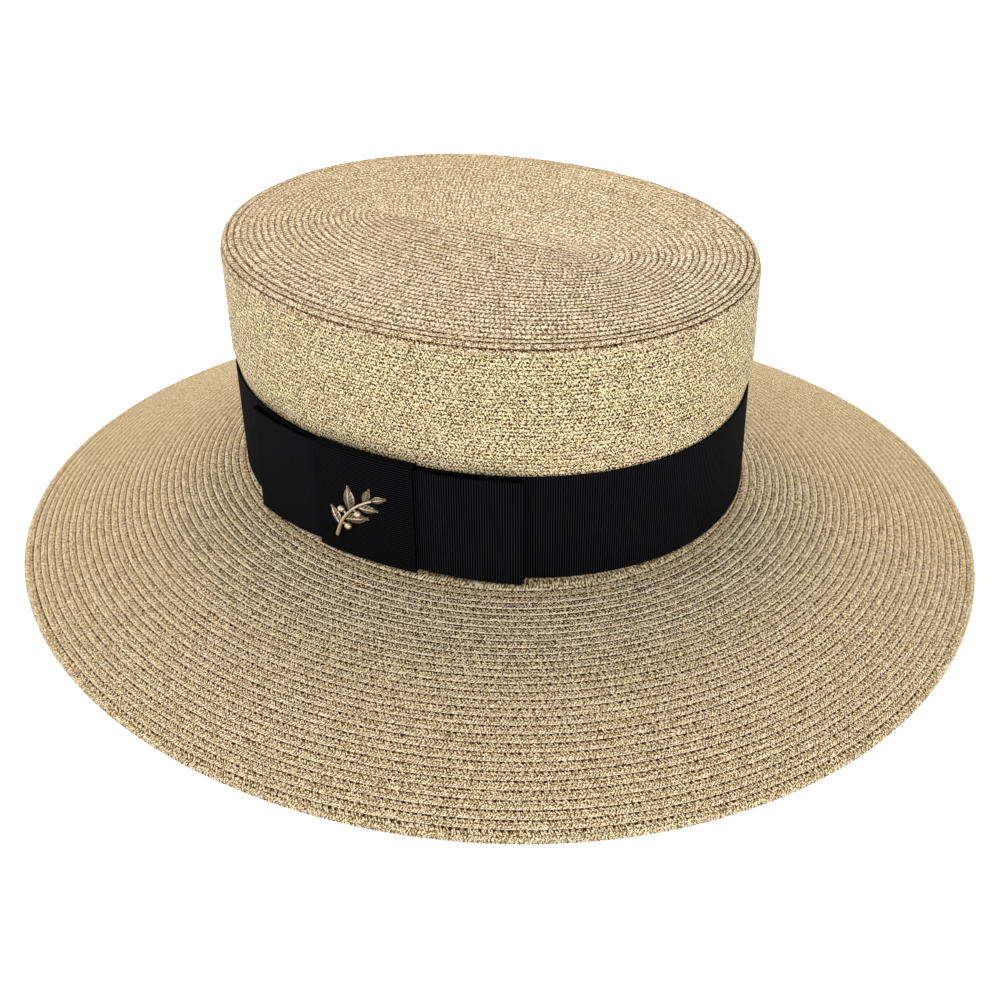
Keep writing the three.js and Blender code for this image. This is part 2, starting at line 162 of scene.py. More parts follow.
def colour_setting(name, description, hex_colour):
    return bpy.props.FloatVectorProperty(
        name=name, description=description, subtype="COLOR", size=3, min=0, max=1,
        default=linear(hex_colour))


def length_setting(name, description, default):
    return bpy.props.FloatProperty(
        name=name, description=description, default=default, min=0, unit="LENGTH", precision=5)


class StrawSettings(bpy.types.PropertyGroup):
    thickness: length_setting("Thickness", "Thickness of the straw wall", 1.6 * MM)
    brim_relief: length_setting("Brim relief", "Step between the brim's rows", 0.26 * MM)
    side_relief: length_setting("Side relief", "Step between the side's rows", 0.14 * MM)
    tip_relief: length_setting("Tip relief", "Step between the tip's rows", 0.2 * MM)
    loop_pitch: length_setting("Edge loops", "Distance between the rim's edge loops", 1.5 * MM)
    shadow: colour_setting("Shadow", "Stitch holes", "#241200")
    gap: colour_setting("Gap", "Gaps between strands", "#5A411A")
    paper: colour_setting("Paper", "Darker paper strands", "#937A50")
    straw: colour_setting("Straw", "Main straw colour", "#CAB48D")
    # Glint is painted light: the colour of the metallic thread where it catches the light.
    glint: colour_setting("Glint", "Metallic thread", "#FFF0D2")


class RibbonSettings(bpy.types.PropertyGroup):
    thickness: length_setting("Thickness", "Thickness of the ribbon", 0.7 * MM)
    rib_pitch: length_setting("Rib pitch", "Distance between the ribbon's ribs", 0.86 * MM)
    rib_relief: length_setting("Rib relief", "Height of the ribbon's ribs", 0.12 * MM)
    colour: colour_setting("Colour", "Ribbon colour", "#131316")


class SprigSettings(bpy.types.PropertyGroup):
    along: bpy.props.FloatProperty(
        name="Along", description="Middle of the sprig along the band from the middle of the bow",
        default=-6 * MM, unit="LENGTH")
    height: length_setting("Height", "Middle of the sprig above the headline", 18.5 * MM)
    tilt: bpy.props.FloatProperty(
        name="Tilt", description="Angle of the stem to the band", default=math.radians(52), subtype="ANGLE")
    bright: colour_setting("Raised metal", "Colour of the rubbed, raised metal", "#EAD9BE")
    dark: colour_setting("Recessed metal", "Colour of the darkened hollows", "#33261C")


class StageSettings(bpy.types.PropertyGroup):
    floor: colour_setting("Floor", "Colour of the floor", "#B4B4B2")
    camera_turn: bpy.props.FloatProperty(
        name="Camera turn", description="Direction of the camera round the hat, from +X towards +Y",
        default=0.5267693, subtype="ANGLE")
    camera_rise: bpy.props.FloatProperty(
        name="Camera rise", description="Angle of the camera above the floor",
        default=0.5468197, subtype="ANGLE")
    camera_roll: bpy.props.FloatProperty(
        name="Camera roll", description="Roll of the camera", default=-0.028704, subtype="ANGLE")
    camera_distance: length_setting("Camera distance", "From the middle of the headline", 0.649249)


# Shape of the hat


def fall_at(column, angle):
    """A smooth periodic curve through one column of BRIM_FALL."""
    count = len(BRIM_FALL)
    value = np.zeros_like(angle)
    for number, row in enumerate(BRIM_FALL):
        turn = angle - number * 2 * math.pi / count
        half = np.sin(turn / 2)
        near = np.abs(half) < 1e-7
        safe = np.where(near, 1, half)
        weight = np.where(near, 1, np.sin(count * turn / 2) * np.cos(turn / 2) / (count * safe))
        value = value + weight * row[column]
    return value


def fall_share(angle, share):
    """Share of the rim's drop at a share of the brim's width."""
    first_sag = 1 / 3 - fall_at(1, angle)
    second_sag = 2 / 3 - fall_at(2, angle)
    sag = (first_sag + second_sag) * 9 / 4
    skew = (first_sag - second_sag) * 27 / 4
    return share - share * (1 - share) * (sag + skew * (1 - 2 * share))


def smoothstep(value, low, high):
    share = np.clip((value - low) / (high - low), 0, 1)
    return share * share * (3 - 2 * share)


def oval(half_width, half_length, squareness, angle):
    cos, sin = np.cos(angle), np.sin(angle)
    power = 2 / squareness
    return (half_width * np.sign(cos) * np.abs(cos) ** power,
            half_length * np.sign(sin) * np.abs(sin) ** power)


def points(x, y, height):
    """Points from their places and their heights above the headline."""
    x, y, height = np.broadcast_arrays(x, y, height)
    return np.stack([x, y, height + HEADLINE], axis=-1)


def crown_point(angle, height, out):
    """A point beside the crown's side wall, as it would be without its swelling."""
    rise = height / CROWN_HEIGHT
    half_width = HEAD_HALF_WIDTH + (CROWN_TOP_HALF_WIDTH - HEAD_HALF_WIDTH) * rise + out
    half_length = HEAD_HALF_LENGTH + (CROWN_TOP_HALF_LENGTH - HEAD_HALF_LENGTH) * rise + out
    x, y = oval(half_width, half_length, CROWN_SQUARENESS, angle)
    return points(x, y, height)


def swelling(angle, swell):
    """How far the straw stands out. It is least on the side that the reference photo is taken from."""
    share = SWELL_LEAST + (1 - SWELL_LEAST) * smoothstep(1 - np.cos(angle - SWELL_LEAST_AT), 0, 1)
    return (swell + SWELL_MORE * np.cos(angle - SWELL_MOST)) * share


def brim_point(angle, share):
    """A point on the brim's upper face. Share 0 is under the crown's wall and 1 is the rim."""
    start_x, start_y = oval(
        HEAD_HALF_WIDTH - CAD_STRAW, HEAD_HALF_LENGTH - CAD_STRAW, CROWN_SQUARENESS, angle)
    end_x, end_y = oval(RIM_HALF_WIDTH, RIM_HALF_LENGTH, RIM_SQUARENESS, angle)
    foot = (CAD_STRAW + BAND_OUT) / np.hypot(end_x - start_x, end_y - start_y)
    slope = np.maximum(0, (share - foot) / (1 - foot))
    drop = RIM_DROP * fall_at(0, angle) * fall_share(angle, slope) + CLEARANCE
    return points(start_x + (end_x - start_x) * share, start_y + (end_y - start_y) * share, -drop)


def band_table():
    """Angles over the first quarter of the band, and how far along the band each is."""
    angle = np.linspace(0, math.pi / 2, 400)
    steps = np.linalg.norm(np.diff(crown_point(angle, 0, BAND_OUT), axis=0), axis=1)
    return angle, np.concatenate([[0], np.cumsum(steps)])


BAND_ANGLES, BAND_ALONG = band_table()


def bow_point(along, height, out):
    """A point on the bow: distance along the band from the bow's middle, height, and out from the band."""
    angle = np.sign(along) * np.interp(np.abs(along), BAND_ALONG, BAND_ANGLES)
    return crown_point(angle, height, BAND_OUT + out)


# Mesh tools


def start_alone():
    if bpy.context.mode != "OBJECT":
        bpy.ops.object.mode_set(mode="OBJECT")
    bpy.ops.object.select_all(action="DESELECT")


def pick(piece):
    """Selects the piece alone."""
    start_alone()
    piece.select_set(True)
    bpy.context.view_layer.objects.active = piece


def edit_whole(piece):
    """Goes into edit mode with all of the piece selected."""
    pick(piece)
    bpy.ops.object.mode_set(mode="EDIT")
    bpy.ops.mesh.select_all(action="SELECT")


def weld(piece):
    edit_whole(piece)
    bpy.ops.mesh.remove_doubles(threshold=WELD)
    bpy.ops.object.mode_set(mode="OBJECT")


def point_places(piece):
    flat = np.empty(len(piece.data.vertices) * 3)
    piece.data.vertices.foreach_get("co", flat)
    return flat.reshape(-1, 3)


def unit_rows(vectors):
    return vectors / np.linalg.norm(vectors, axis=1, keepdims=True)


def lengths_along(line):
    """How far along a line each of its points is."""
    return np.concatenate([[0], np.cumsum(np.linalg.norm(np.diff(line, axis=0), axis=1))])


def grid_piece(name, columns, rows):
    """A grid primitive, with the column and row number of each of its points."""
    start_alone()
    bpy.ops.mesh.primitive_grid_add(x_subdivisions=columns, y_subdivisions=rows, size=1, location=(0, 0, 0))
    piece = bpy.context.object
    piece.name = piece.data.name = name
    flat = point_places(piece)
    column = np.rint((flat[:, 0] + 0.5) * columns).astype(int)
    row = np.rint((flat[:, 1] + 0.5) * rows).astype(int)
    return piece, column, row


def map_grid(piece, column, row, along, across, layer="weave"):
    """Writes the piece's UV map: along[row face, column] and across[row]."""
    mesh = piece.data
    corners = np.empty(len(mesh.loops), dtype=int)
    mesh.loops.foreach_get("vertex_index", corners)
    sizes = np.empty(len(mesh.polygons), dtype=int)
    mesh.polygons.foreach_get("loop_total", sizes)
    corner_row = row[corners].reshape(-1, 4)
    face_row = np.repeat(corner_row.min(axis=1), 4)
    uv = np.stack([along[face_row, column[corners]], across[row[corners]]], axis=-1)
    while mesh.uv_layers:
        mesh.uv_layers.remove(mesh.uv_layers[0])
    mesh.uv_layers.new(name=layer).data.foreach_set("uv", uv.ravel())


def place(piece, positions):
    piece.data.vertices.foreach_set("co", positions.ravel())
    piece.data.update()


def close_and_face(piece, outward):
    """Welds the seams, and turns the faces the way that outward gives at their middles, as about 200 of them
    show it by vote."""
    faces = list(piece.data.polygons)
    votes = sum(
        1 if face.normal.dot(outward(face.center)) > 0 else -1 for face in faces[::max(1, len(faces) // 200)])
    edit_whole(piece)
    if votes < 0:
        bpy.ops.mesh.flip_normals()
    bpy.ops.mesh.remove_doubles(threshold=WELD)
    bpy.ops.object.mode_set(mode="OBJECT")


def thicken(piece, thickness):
    """Gives a sheet its wall, inward from its face."""
    bpy.context.view_layer.objects.active = piece
    bpy.ops.object.modifier_add(type="SOLIDIFY")
    wall = piece.modifiers[-1]
    wall.thickness = thickness
    wall.offset = -1
    bpy.ops.object.modifier_apply(modifier=wall.name)


def make_outside(piece):
    """Turns a closed shell's faces outward."""
    edit_whole(piece)
    bpy.ops.mesh.normals_make_consistent(inside=False)
    bpy.ops.object.mode_set(mode="OBJECT")


def smooth(piece, degrees):
    pick(piece)
    bpy.ops.object.shade_smooth_by_angle(angle=math.radians(degrees))


def finish_piece(piece, slot, material, *nodes):
    piece.data.materials.clear()
    piece.data.materials.append(material)
    if nodes:
        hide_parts(*nodes)
    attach(piece, "root")


def from_middle(centre):
    """Outward from the hat's upright axis and up."""
    out = centre.copy()
    out.z = max(abs(out.x), abs(out.y)) * 0.5
    return out


def upward(_):
    return Vector((0, 0, 1))


def sideways(centre):
    out = centre.copy()
    out.z = 0
    return out


# Straw pieces


def braid_stations(rows):
    """Places across sewn rows, with the height of each as a share of the relief."""
    across, lift = [0.0], [FLUSH]
    for row in range(rows):
        for part, height in ROW_SECTION:
            across.append(row + part)
            lift.append(height)
    return np.array(across), np.array(lift)


def braid_shell(name, columns, rows, surface, relief):
    """Sewn rows of braid as one sheet. surface(angle, place across the rows) gives its points."""
    across, lift = braid_stations(rows)
    piece, column, row = grid_piece(name, columns, len(across) - 1)
    angles = np.arange(columns + 1) * 2 * math.pi / columns + math.pi / 2
    angles[-1] = angles[0]
    grid_angle, grid_across = np.meshgrid(angles, across, indexing="ij")
    here = surface(grid_angle, grid_across)
    over = surface(grid_angle, np.minimum(grid_across + SMALL_STEP, rows)) - surface(
        grid_angle, np.maximum(grid_across - SMALL_STEP, 0))
    round_way = surface(grid_angle + SMALL_TURN, grid_across) - surface(grid_angle - SMALL_TURN, grid_across)
    normal = np.cross(round_way, over)
    size = np.linalg.norm(normal, axis=-1, keepdims=True)
    normal = np.divide(normal, size, out=np.zeros_like(normal), where=size > 1e-14)
    tall = here - normal * ((lift - FLUSH) * relief)[None, :, None]
    place(piece, tall[column, row])

    middle = surface(*np.meshgrid(angles, np.arange(rows) + 0.5, indexing="ij"))
    steps = np.linalg.norm(np.diff(middle, axis=0), axis=-1)
    lengths = np.concatenate([np.zeros((1, rows)), np.cumsum(steps, axis=0)]).T / MM
    face_rows = np.minimum(across[1:].astype(float) - 1e-6, rows - 1e-3).astype(int)
    map_grid(piece, column, row, lengths[face_rows], across, layer="braid")
    return piece


def straw_piece(straw, name, cad_node, shape, outward, material):
    """One of the three pieces of sewn braid. Its shape is columns, rows, surface and relief."""
    piece = braid_shell(name, *shape)
    close_and_face(piece, outward)
    thicken(piece, straw.thickness)
    smooth(piece, 40)
    finish_piece(piece, "straw", material, cad_node)


def brim_surface(angle, across):
    """The brim by rows, which are counted from the rim inward along the slope. The first row is under the
    crown's wall and takes up what is left."""
    shares = np.linspace(0, 1, 120)
    wanted = (BRIM_ROWS - 1 + BRIM_LAST_ROW - across - np.maximum(0, across - BRIM_ROWS + 1)
              * (BRIM_LAST_ROW - 1)) * ROW_WIDTH
    share = np.empty_like(angle)
    for number, column_angle in enumerate(angle[:, 0]):
        slope = brim_point(np.full_like(shares, column_angle), shares)
        steps = np.linalg.norm(np.diff(slope, axis=0), axis=1)
        from_rim = np.concatenate([np.cumsum(steps[::-1])[::-1], [0]])
        share[number] = np.interp(-wanted[number], -from_rim, shares)
        first = across[number] < 1
        one = np.interp(-(BRIM_ROWS - 2 + BRIM_LAST_ROW) * ROW_WIDTH, -from_rim, shares)
        share[number, first] = across[number, first] * one
    return brim_point(angle, share)


def side_surface(angle, across):
    """The side wall. It swells out above the ribbon."""
    top = CROWN_HEIGHT - TIP_LIP_HEIGHT - CLEARANCE / 2
    height = top * (1 - across / SIDE_ROWS)
    return crown_point(angle, height, swelling(angle, SIDE_SWELL) * smoothstep(height, *SWELL_HEIGHTS))


def tip_surface(angle, across):
    """The flat top, its rounded edge and the lip, from the centre line outward."""
    low, high = TIP_CENTRE_LINE
    start_y = (low + high) / 2 + (high - low) / 2 * np.sin(angle)
    reach = TIP_OVERHANG + swelling(angle, TIP_SWELL)
    flat_edge = crown_point(angle, CROWN_HEIGHT, reach - TIP_EDGE_RADIUS)
    run = np.hypot(flat_edge[..., 0], flat_edge[..., 1] - start_y)
    arc = TIP_EDGE_RADIUS * math.pi / 2
    lip = TIP_LIP_HEIGHT - TIP_EDGE_RADIUS
    whole = run + arc + lip
    inner = whole - TIP_LIP_ROW
    distance = np.where(
        across <= TIP_ROWS - 1,
        across / (TIP_ROWS - 1) * inner,
        inner + (across - TIP_ROWS + 1) * TIP_LIP_ROW)
    share = np.minimum(distance / run, 1)
    turn = np.clip((distance - run) / TIP_EDGE_RADIUS, 0, math.pi / 2)
    out = reach - TIP_EDGE_RADIUS * (1 - np.sin(turn))
    down = TIP_EDGE_RADIUS * (1 - np.cos(turn)) + np.maximum(0, distance - run - arc)
    edge = crown_point(angle, CROWN_HEIGHT, out)
    dome = TIP_DOME * smoothstep(run - distance, 0, TIP_SHOULDER)
    return points(
        edge[..., 0] * share, start_y + (edge[..., 1] - start_y) * share, CROWN_HEIGHT - down + dome)


# Materials

# Kinds of node that come up often, and their settings. A map range takes its value from one span to another:
# value, from low, from high, to low, to high.
MATH, VECTOR_MATH, MAP_RANGE = "ShaderNodeMath", "ShaderNodeVectorMath", "ShaderNodeMapRange"
SPLIT, JOIN = "ShaderNodeSeparateXYZ", "ShaderNodeCombineXYZ"
PLUS, MINUS, TIMES, OVER, FLOOR, FRACT, ABSOLUTE, MODULO, POWER, EXPONENT, ABOVE = (
    {"operation": operation} for operation in (
        "ADD", "SUBTRACT", "MULTIPLY", "DIVIDE", "FLOOR", "FRACT", "ABSOLUTE", "MODULO", "POWER", "EXPONENT",
        "GREATER_THAN"))
COLOUR_MIX = {"data_type": "RGBA", "blend_type": "MIX", "clamp_result": True}
COLOUR_TIMES = {**COLOUR_MIX, "blend_type": "MULTIPLY"}

# The direction from the hat to where the reference photo is taken, fixed in the hat. The straw stands out more
# towards it, because the photo is sharper there. Real straw is alike all round: "away" at 1 and "beside_crown"
# at 0 in the looks below turn this off.
PHOTO_SIDE = (0.738, 0.429, 0.52)
PHOTO_SIDE_SPAN = (0.0, 0.1)      # from where to where along it, in metres
STRAND_WANDER = 1.0               # how far strands wander along the row, in strands
BEAD_TOP, BEAD_ENDS, BEAD_SIDES = 0.42, 3.2, 1.8   # a strand's rounding, along the row and across it, painted as a highlight on its middle and shade at its ends and sides
# A fleck is drawn about as small as the render shows, in millimetres. In life it may be 0.1 mm.
FLECK_LENGTH, FLECK_WIDTH = 0.54, 0.44
FLECK_LEAN = 1.2
FLECK_CORE = (0.2, 0.7)           # a fleck's bright middle and dark edge, by distance from its centre
INNER_ROWS = 6.0                  # rows over which the flecks widen towards the crown
LAST_BEAD, LAST_SHADE = 0.3, 0.38   # the last rows' beads and their shade
ROWS_FADE = 0.4                   # how much the rows fade where the strands do
BESIDE_ROWS = (3.0, 16.0)         # rows from the crown over which nearness to it wears off
HIDDEN_ROWS = (2.2, 3.2)          # rows over which it sets in: those before are under the ribbon and bow
FACING_POWER = 2.5                # how narrowly nearness is kept to the photo's side
NEAR_STRANDS, NEAR_PAINTED_SHADE, NEAR_EDGE_GLINT = 1.6, -0.3, 2.6   # what nearness to the crown does: stronger strands, painted shade from the crown on the tone, painted glint on the edge thread
SHADE_SPAN, SHADE_DEPTH, SHADE_FRAY = (0.1, 0.5), -1.15, 0.2   # shade at a row's inner part
EDGE_SPAN, EDGE_WIDER = (0.88, 0.94), 0.06   # where in a row its pale thread starts, and how much sooner nearby
EDGE_CHANCE, EDGE_SURER = (0.1, 0.35), 0.28   # how often that thread shows, and how much more often nearby
STITCH_SPACING = 2.4              # mm
STITCH_STAGGER, STITCH_WANDER = 0.37, 0.4   # from one line of stitches to the next, and along it, in stitches
STITCH_REACH = (0.08, 0.22)       # half a stitch hole's length, least and most, in stitches
STITCH_BLUR, STITCH_SIDE_BLUR = 0.06, 0.08   # softness of a stitch hole's ends and sides
THREAD_ABOVE, THREAD_METAL = 0.8, 0.5   # which flecks are metallic thread, and how metallic
THREAD_TILT = 0.45                # how far each is tipped

# How each straw piece's braid looks. A tone runs from 0, the painted shade of a stitch hole, to 1, the painted
# glint of bright thread.
#   level: middle tone; lean: slant of the strands
#   bead, core, fleck: contrast of the strands' beads, which is their painted highlight and shade, within flecks,
#       and from fleck to fleck
#   fleck_size: flecks' size; inner_flecks: how much they widen towards the crown
#   overlap, edge: shade of a row's inner part, and brightness of the thread on its outer edge, partly a pale
#       thread and partly a painted highlight on that raised edge
#   stitch, stitch_lines, stitch_width: how dark the stitch holes' painted shade is, lines of them in a row, and
#       a line's width
#   away: strands' contrast on the side away from the photo's; far, far_row_shade: lighter tone, and deeper
#       painted shade in the rows there
#   beside_crown: how much the rows stand out more beside the crown, with painted shade and painted glints there
#   last_rows: the row from which strands are plainer and the rows' painted shade deeper; ends: deeper painted
#       shade in the rows at front and back
#   warmth: a colour over it all
NO_ROW = 99.0
PLAIN_LOOK = {
    "lean": 0.9, "fleck_size": 1.0, "inner_flecks": 0.0, "stitch_lines": 1.0, "stitch_width": 0.2, "far": 0.0,
    "far_row_shade": 0.0, "away": 0.48, "beside_crown": 0.0, "last_rows": NO_ROW, "ends": 0.0}
BRIM_LOOK = {
    **PLAIN_LOOK, "level": 0.595, "bead": 0.6, "core": 0.6, "fleck": 0.55, "inner_flecks": 0.25,
    "overlap": 0.13, "edge": 0.42, "stitch": 0.66, "far": 0.12, "far_row_shade": 0.45, "beside_crown": 1.0,
    "warmth": linear("#FFFDF8")}
SIDE_LOOK = {
    **PLAIN_LOOK, "level": 0.665, "bead": 0.85, "core": 0.85, "fleck": 0.85, "fleck_size": 1.16,
    "overlap": 0.08, "edge": 0.2, "stitch": 0.5, "stitch_lines": 2.0, "stitch_width": 0.36, "away": 1.12,
    "warmth": linear("#FFFDF1")}
TIP_LOOK = {
    **PLAIN_LOOK, "level": 0.64, "lean": 0.5, "bead": 0.66, "core": 0.62, "fleck": 0.68, "fleck_size": 1.08,
    "overlap": 0.07, "edge": 0.12, "stitch": 0.2, "far": -0.02, "last_rows": TIP_ROWS - 3.0, "ends": 0.2,
    "warmth": linear("#FFFDFB")}


def node(tree, kind, settings, *inputs):
    """Adds a node. Settings are its properties. Inputs are given in order, or in one dict by name or number:
    each is a value, a socket to link, or a node whose first output is linked."""
    made = tree.nodes.new(kind)
    for key, value in settings.items():
        setattr(made, key, value)
    by_key = inputs[0] if inputs and isinstance(inputs[0], dict) else dict(enumerate(inputs))
    for key, value in by_key.items():
        source = value.outputs[0] if isinstance(value, bpy.types.Node) else value
        if isinstance(source, bpy.types.NodeSocket):
            tree.links.new(source, made.inputs[key])
        else:
            made.inputs[key].default_value = source
    return made


def new_material(name):
    """A material, and the function that adds a node to it."""
    material = bpy.data.materials.new(name)
    material.use_nodes = True
    material.node_tree.nodes.clear()
    return material, partial(node, material.node_tree)


def opaque(colour):
    return (*colour, 1)


def straw_braid(name, settings, row_width, strand_pitch, tiers_in_row, look):
    """Machine-sewn braid of paper straw with a metallic thread. The eye sees speckled gold: small plaited
    strands with brown gaps between them, and dark stitch holes under the pale edge of each row. Light and shade
    are painted into its colour: highlights and shade on the strands' beads, shade in the rows and the stitch
    holes, highlights on the rows' edges, glints of the metallic thread, and shade beside the crown."""
    material, add = new_material(name)
    braid = add("ShaderNodeUVMap", {"uv_map": "braid"})
    apart = add(SPLIT, {}, braid)
    along, across = apart.outputs[0], apart.outputs[1]
    part = add(MATH, FRACT, across)

    # Strands lie in tiers that lean opposite ways, like a plait.
    tiers = add(MATH, TIMES, across, tiers_in_row)
    tier = add(MATH, FLOOR, tiers)
    tier_part = add(MATH, MINUS, add(MATH, FRACT, tiers), 0.5)
    side = add(MATH, MINUS, add(MATH, TIMES, add(MATH, MODULO, tier, 2.0), 2.0), 1.0)
    wander = add("ShaderNodeTexNoise", {"noise_dimensions": "2D"},
                 {"Vector": braid, "Scale": 0.7, "Detail": 1.0})
    lean = add(MATH, TIMES, add(MATH, TIMES, tier_part, side), look["lean"])
    strands = add(MATH, PLUS, add(MATH, PLUS, add(MATH, OVER, along, strand_pitch), lean),
                  add(MATH, TIMES, wander, STRAND_WANDER))
    strand_part = add(MATH, MINUS, add(MATH, FRACT, strands), 0.5)
    # A bead's tone is painted light and shade: lighter in the middle of a rounded strand, darker at its ends and
    # sides.
    bead = add(MATH, MINUS, BEAD_TOP, add(
        MATH, PLUS,
        add(MATH, TIMES, add(MATH, TIMES, strand_part, strand_part), BEAD_ENDS),
        add(MATH, TIMES, add(MATH, TIMES, tier_part, tier_part), BEAD_SIDES)))

    # Fibres and flecks of metallic thread. The brim's are drawn wider towards the crown, because the slope
    # there turns away from the eye.
    wider = add(MATH, TIMES, add(MATH, EXPONENT, add(MATH, OVER, across, -INNER_ROWS)),
                INNER_ROWS * look["inner_flecks"])
    fleck_place = add(
        JOIN, {},
        add(MATH, PLUS, add(MATH, OVER, along, FLECK_LENGTH * look["fleck_size"]),
            add(MATH, TIMES, lean, FLECK_LEAN)),
        add(MATH, TIMES, add(MATH, PLUS, across, wider), row_width / (FLECK_WIDTH * look["fleck_size"])))
    flecks = add("ShaderNodeTexVoronoi", {"voronoi_dimensions": "2D"},
                 {"Vector": fleck_place, "Scale": 1.0, "Randomness": 0.85})
    fleck = add("ShaderNodeSeparateColor", {}, flecks.outputs["Color"])
    core = add(MAP_RANGE, {"interpolation_type": "SMOOTHSTEP"}, flecks.outputs["Distance"],
               *FLECK_CORE, 0.5, -0.5)
    shiny = add(MATH, MINUS, fleck.outputs[0], 0.5)
    last_rows = (look["last_rows"], look["last_rows"] + 0.1)
    plain = add(MAP_RANGE, {}, across, *last_rows, look["bead"], look["bead"] * LAST_BEAD)
    relief = add(MATH, PLUS, add(MATH, TIMES, bead, plain), add(
        MATH, PLUS, add(MATH, TIMES, core, look["core"]), add(MATH, TIMES, shiny, look["fleck"])))

    # The strands of the brim and tip stand out most on the photo's side, and the side wall's a little less there
    # than elsewhere. The rows themselves fade less on the far side than the strands do.
    in_hat = add("ShaderNodeTexCoord", {}).outputs["Object"]
    towards_photo = add(VECTOR_MATH, {"operation": "DOT_PRODUCT"}, in_hat, PHOTO_SIDE)
    crisp = add(MAP_RANGE, {}, towards_photo.outputs["Value"], *PHOTO_SIDE_SPAN, look["away"], 1.0)
    row_crisp = add(MATH, PLUS, add(MATH, TIMES, crisp, ROWS_FADE), 1 - ROWS_FADE)
    fading = add(MATH, MINUS, 1.0, crisp)

    # On the brim beside the crown, on the photo's side, the rows' pale edges stand out more as painted glints,
    # and painted shade from the crown darkens the tone and the hollows.
    beside_crown = add(MAP_RANGE, {}, across, *BESIDE_ROWS, look["beside_crown"], 0.0)
    seen = add(MAP_RANGE, {}, across, *HIDDEN_ROWS)
    facing_photo = add(MATH, POWER, crisp, FACING_POWER)
    nearness = add(MATH, TIMES, add(MATH, TIMES, beside_crown, seen), facing_photo)
    stronger = add(MATH, TIMES, crisp, add(MATH, PLUS, 1.0, add(MATH, TIMES, nearness, NEAR_STRANDS)))
    level = add(MATH, PLUS, look["level"], add(MATH, TIMES, relief, stronger))
    level = add(MATH, PLUS, add(MATH, PLUS, level, add(MATH, TIMES, fading, look["far"])),
                add(MATH, TIMES, nearness, NEAR_PAINTED_SHADE))

    # The inner part of each row is in the shade of the row that lies over it. On the tip that shows at the
    # two ends and on the last rows.
    end = add(MATH, POWER, add(MATH, TIMES, add(SPLIT, {}, in_hat).outputs[1], 10.0), 2.0)
    last = add(MAP_RANGE, {}, across, *last_rows, 0.0, LAST_SHADE)
    deep = add(MATH, PLUS, add(MATH, TIMES, end, look["ends"]), add(
        MATH, PLUS, add(MATH, TIMES, last, facing_photo), look["overlap"]))
    # The rows' painted shade is deeper on the side away from the photo's.
    deep = add(MATH, PLUS, deep, add(MATH, TIMES, fading, look["far_row_shade"]))
    shade = add(MAP_RANGE, {}, add(MATH, PLUS, part, add(MATH, TIMES, fleck.outputs[1], SHADE_FRAY)),
                *SHADE_SPAN, SHADE_DEPTH, 0.0)
    level = add(MATH, PLUS, level, add(MATH, TIMES, shade, add(MATH, TIMES, deep, row_crisp)))

    # Pale thread along each row's outer edge, partly the thread's own colour and partly a painted highlight
    # where the raised edge catches the light
    edge = add(MAP_RANGE, {}, add(MATH, PLUS, part, add(MATH, TIMES, nearness, EDGE_WIDER)), *EDGE_SPAN)
    edge_chance = add(
        MAP_RANGE, {}, add(MATH, PLUS, fleck.outputs[1], add(MATH, TIMES, nearness, EDGE_SURER)),
        *EDGE_CHANCE, 0.0, look["edge"])
    strong = add(MATH, PLUS, 1.0, add(MATH, TIMES, nearness, NEAR_EDGE_GLINT))
    level = add(MATH, PLUS, level, add(
        MATH, TIMES, add(MATH, TIMES, edge, edge_chance), add(MATH, TIMES, row_crisp, strong)))

    # Stitch holes under that edge, painted dark as the shade inside them
    stitch_lines = add(MATH, TIMES, across, look["stitch_lines"])
    stitch_line = add(MATH, FLOOR, stitch_lines)
    stitch_place = add(MATH, PLUS, add(MATH, OVER, along, STITCH_SPACING), add(
        MATH, PLUS, add(MATH, TIMES, stitch_line, STITCH_STAGGER), add(MATH, TIMES, wander, STITCH_WANDER)))
    stitch_cell = add(JOIN, {}, add(MATH, FLOOR, stitch_place), stitch_line)
    stitch_chance = add("ShaderNodeTexWhiteNoise", {"noise_dimensions": "2D"}, {"Vector": stitch_cell})
    middle = add(MATH, ABSOLUTE, add(MATH, MINUS, add(MATH, FRACT, stitch_place), 0.5))
    reach = add(MAP_RANGE, {}, stitch_chance.outputs["Value"], 0.0, 1.0, *STITCH_REACH)
    dash = add(MAP_RANGE, {}, add(MATH, MINUS, middle, reach), -STITCH_BLUR, STITCH_BLUR, 1.0, 0.0)
    beside = add(MAP_RANGE, {}, add(MATH, FRACT, stitch_lines), look["stitch_width"],
                 look["stitch_width"] + STITCH_SIDE_BLUR, 1.0, 0.0)
    hole = add(MATH, TIMES, add(MATH, TIMES, dash, beside), row_crisp)
    level = add(MATH, {**MINUS, "use_clamp": True}, level, add(MATH, TIMES, hole, look["stitch"]))

    # The darkest stop is the painted shade of stitch holes, and the brightest the painted glint of the metallic
    # thread.
    ramp = add("ShaderNodeValToRGB", {}, level)
    stops = ramp.color_ramp.elements
    stops[0].position, stops[0].color = 0.0, opaque(settings.shadow)
    stops[1].position, stops[1].color = 1.0, opaque(settings.glint)
    for position, colour in ((0.25, settings.gap), (0.5, settings.paper), (0.75, settings.straw)):
        stops.new(position).color = opaque(colour)
    colour = add("ShaderNodeMix", COLOUR_TIMES, {"Factor": 1.0, 6: ramp, 7: opaque(look["warmth"])})

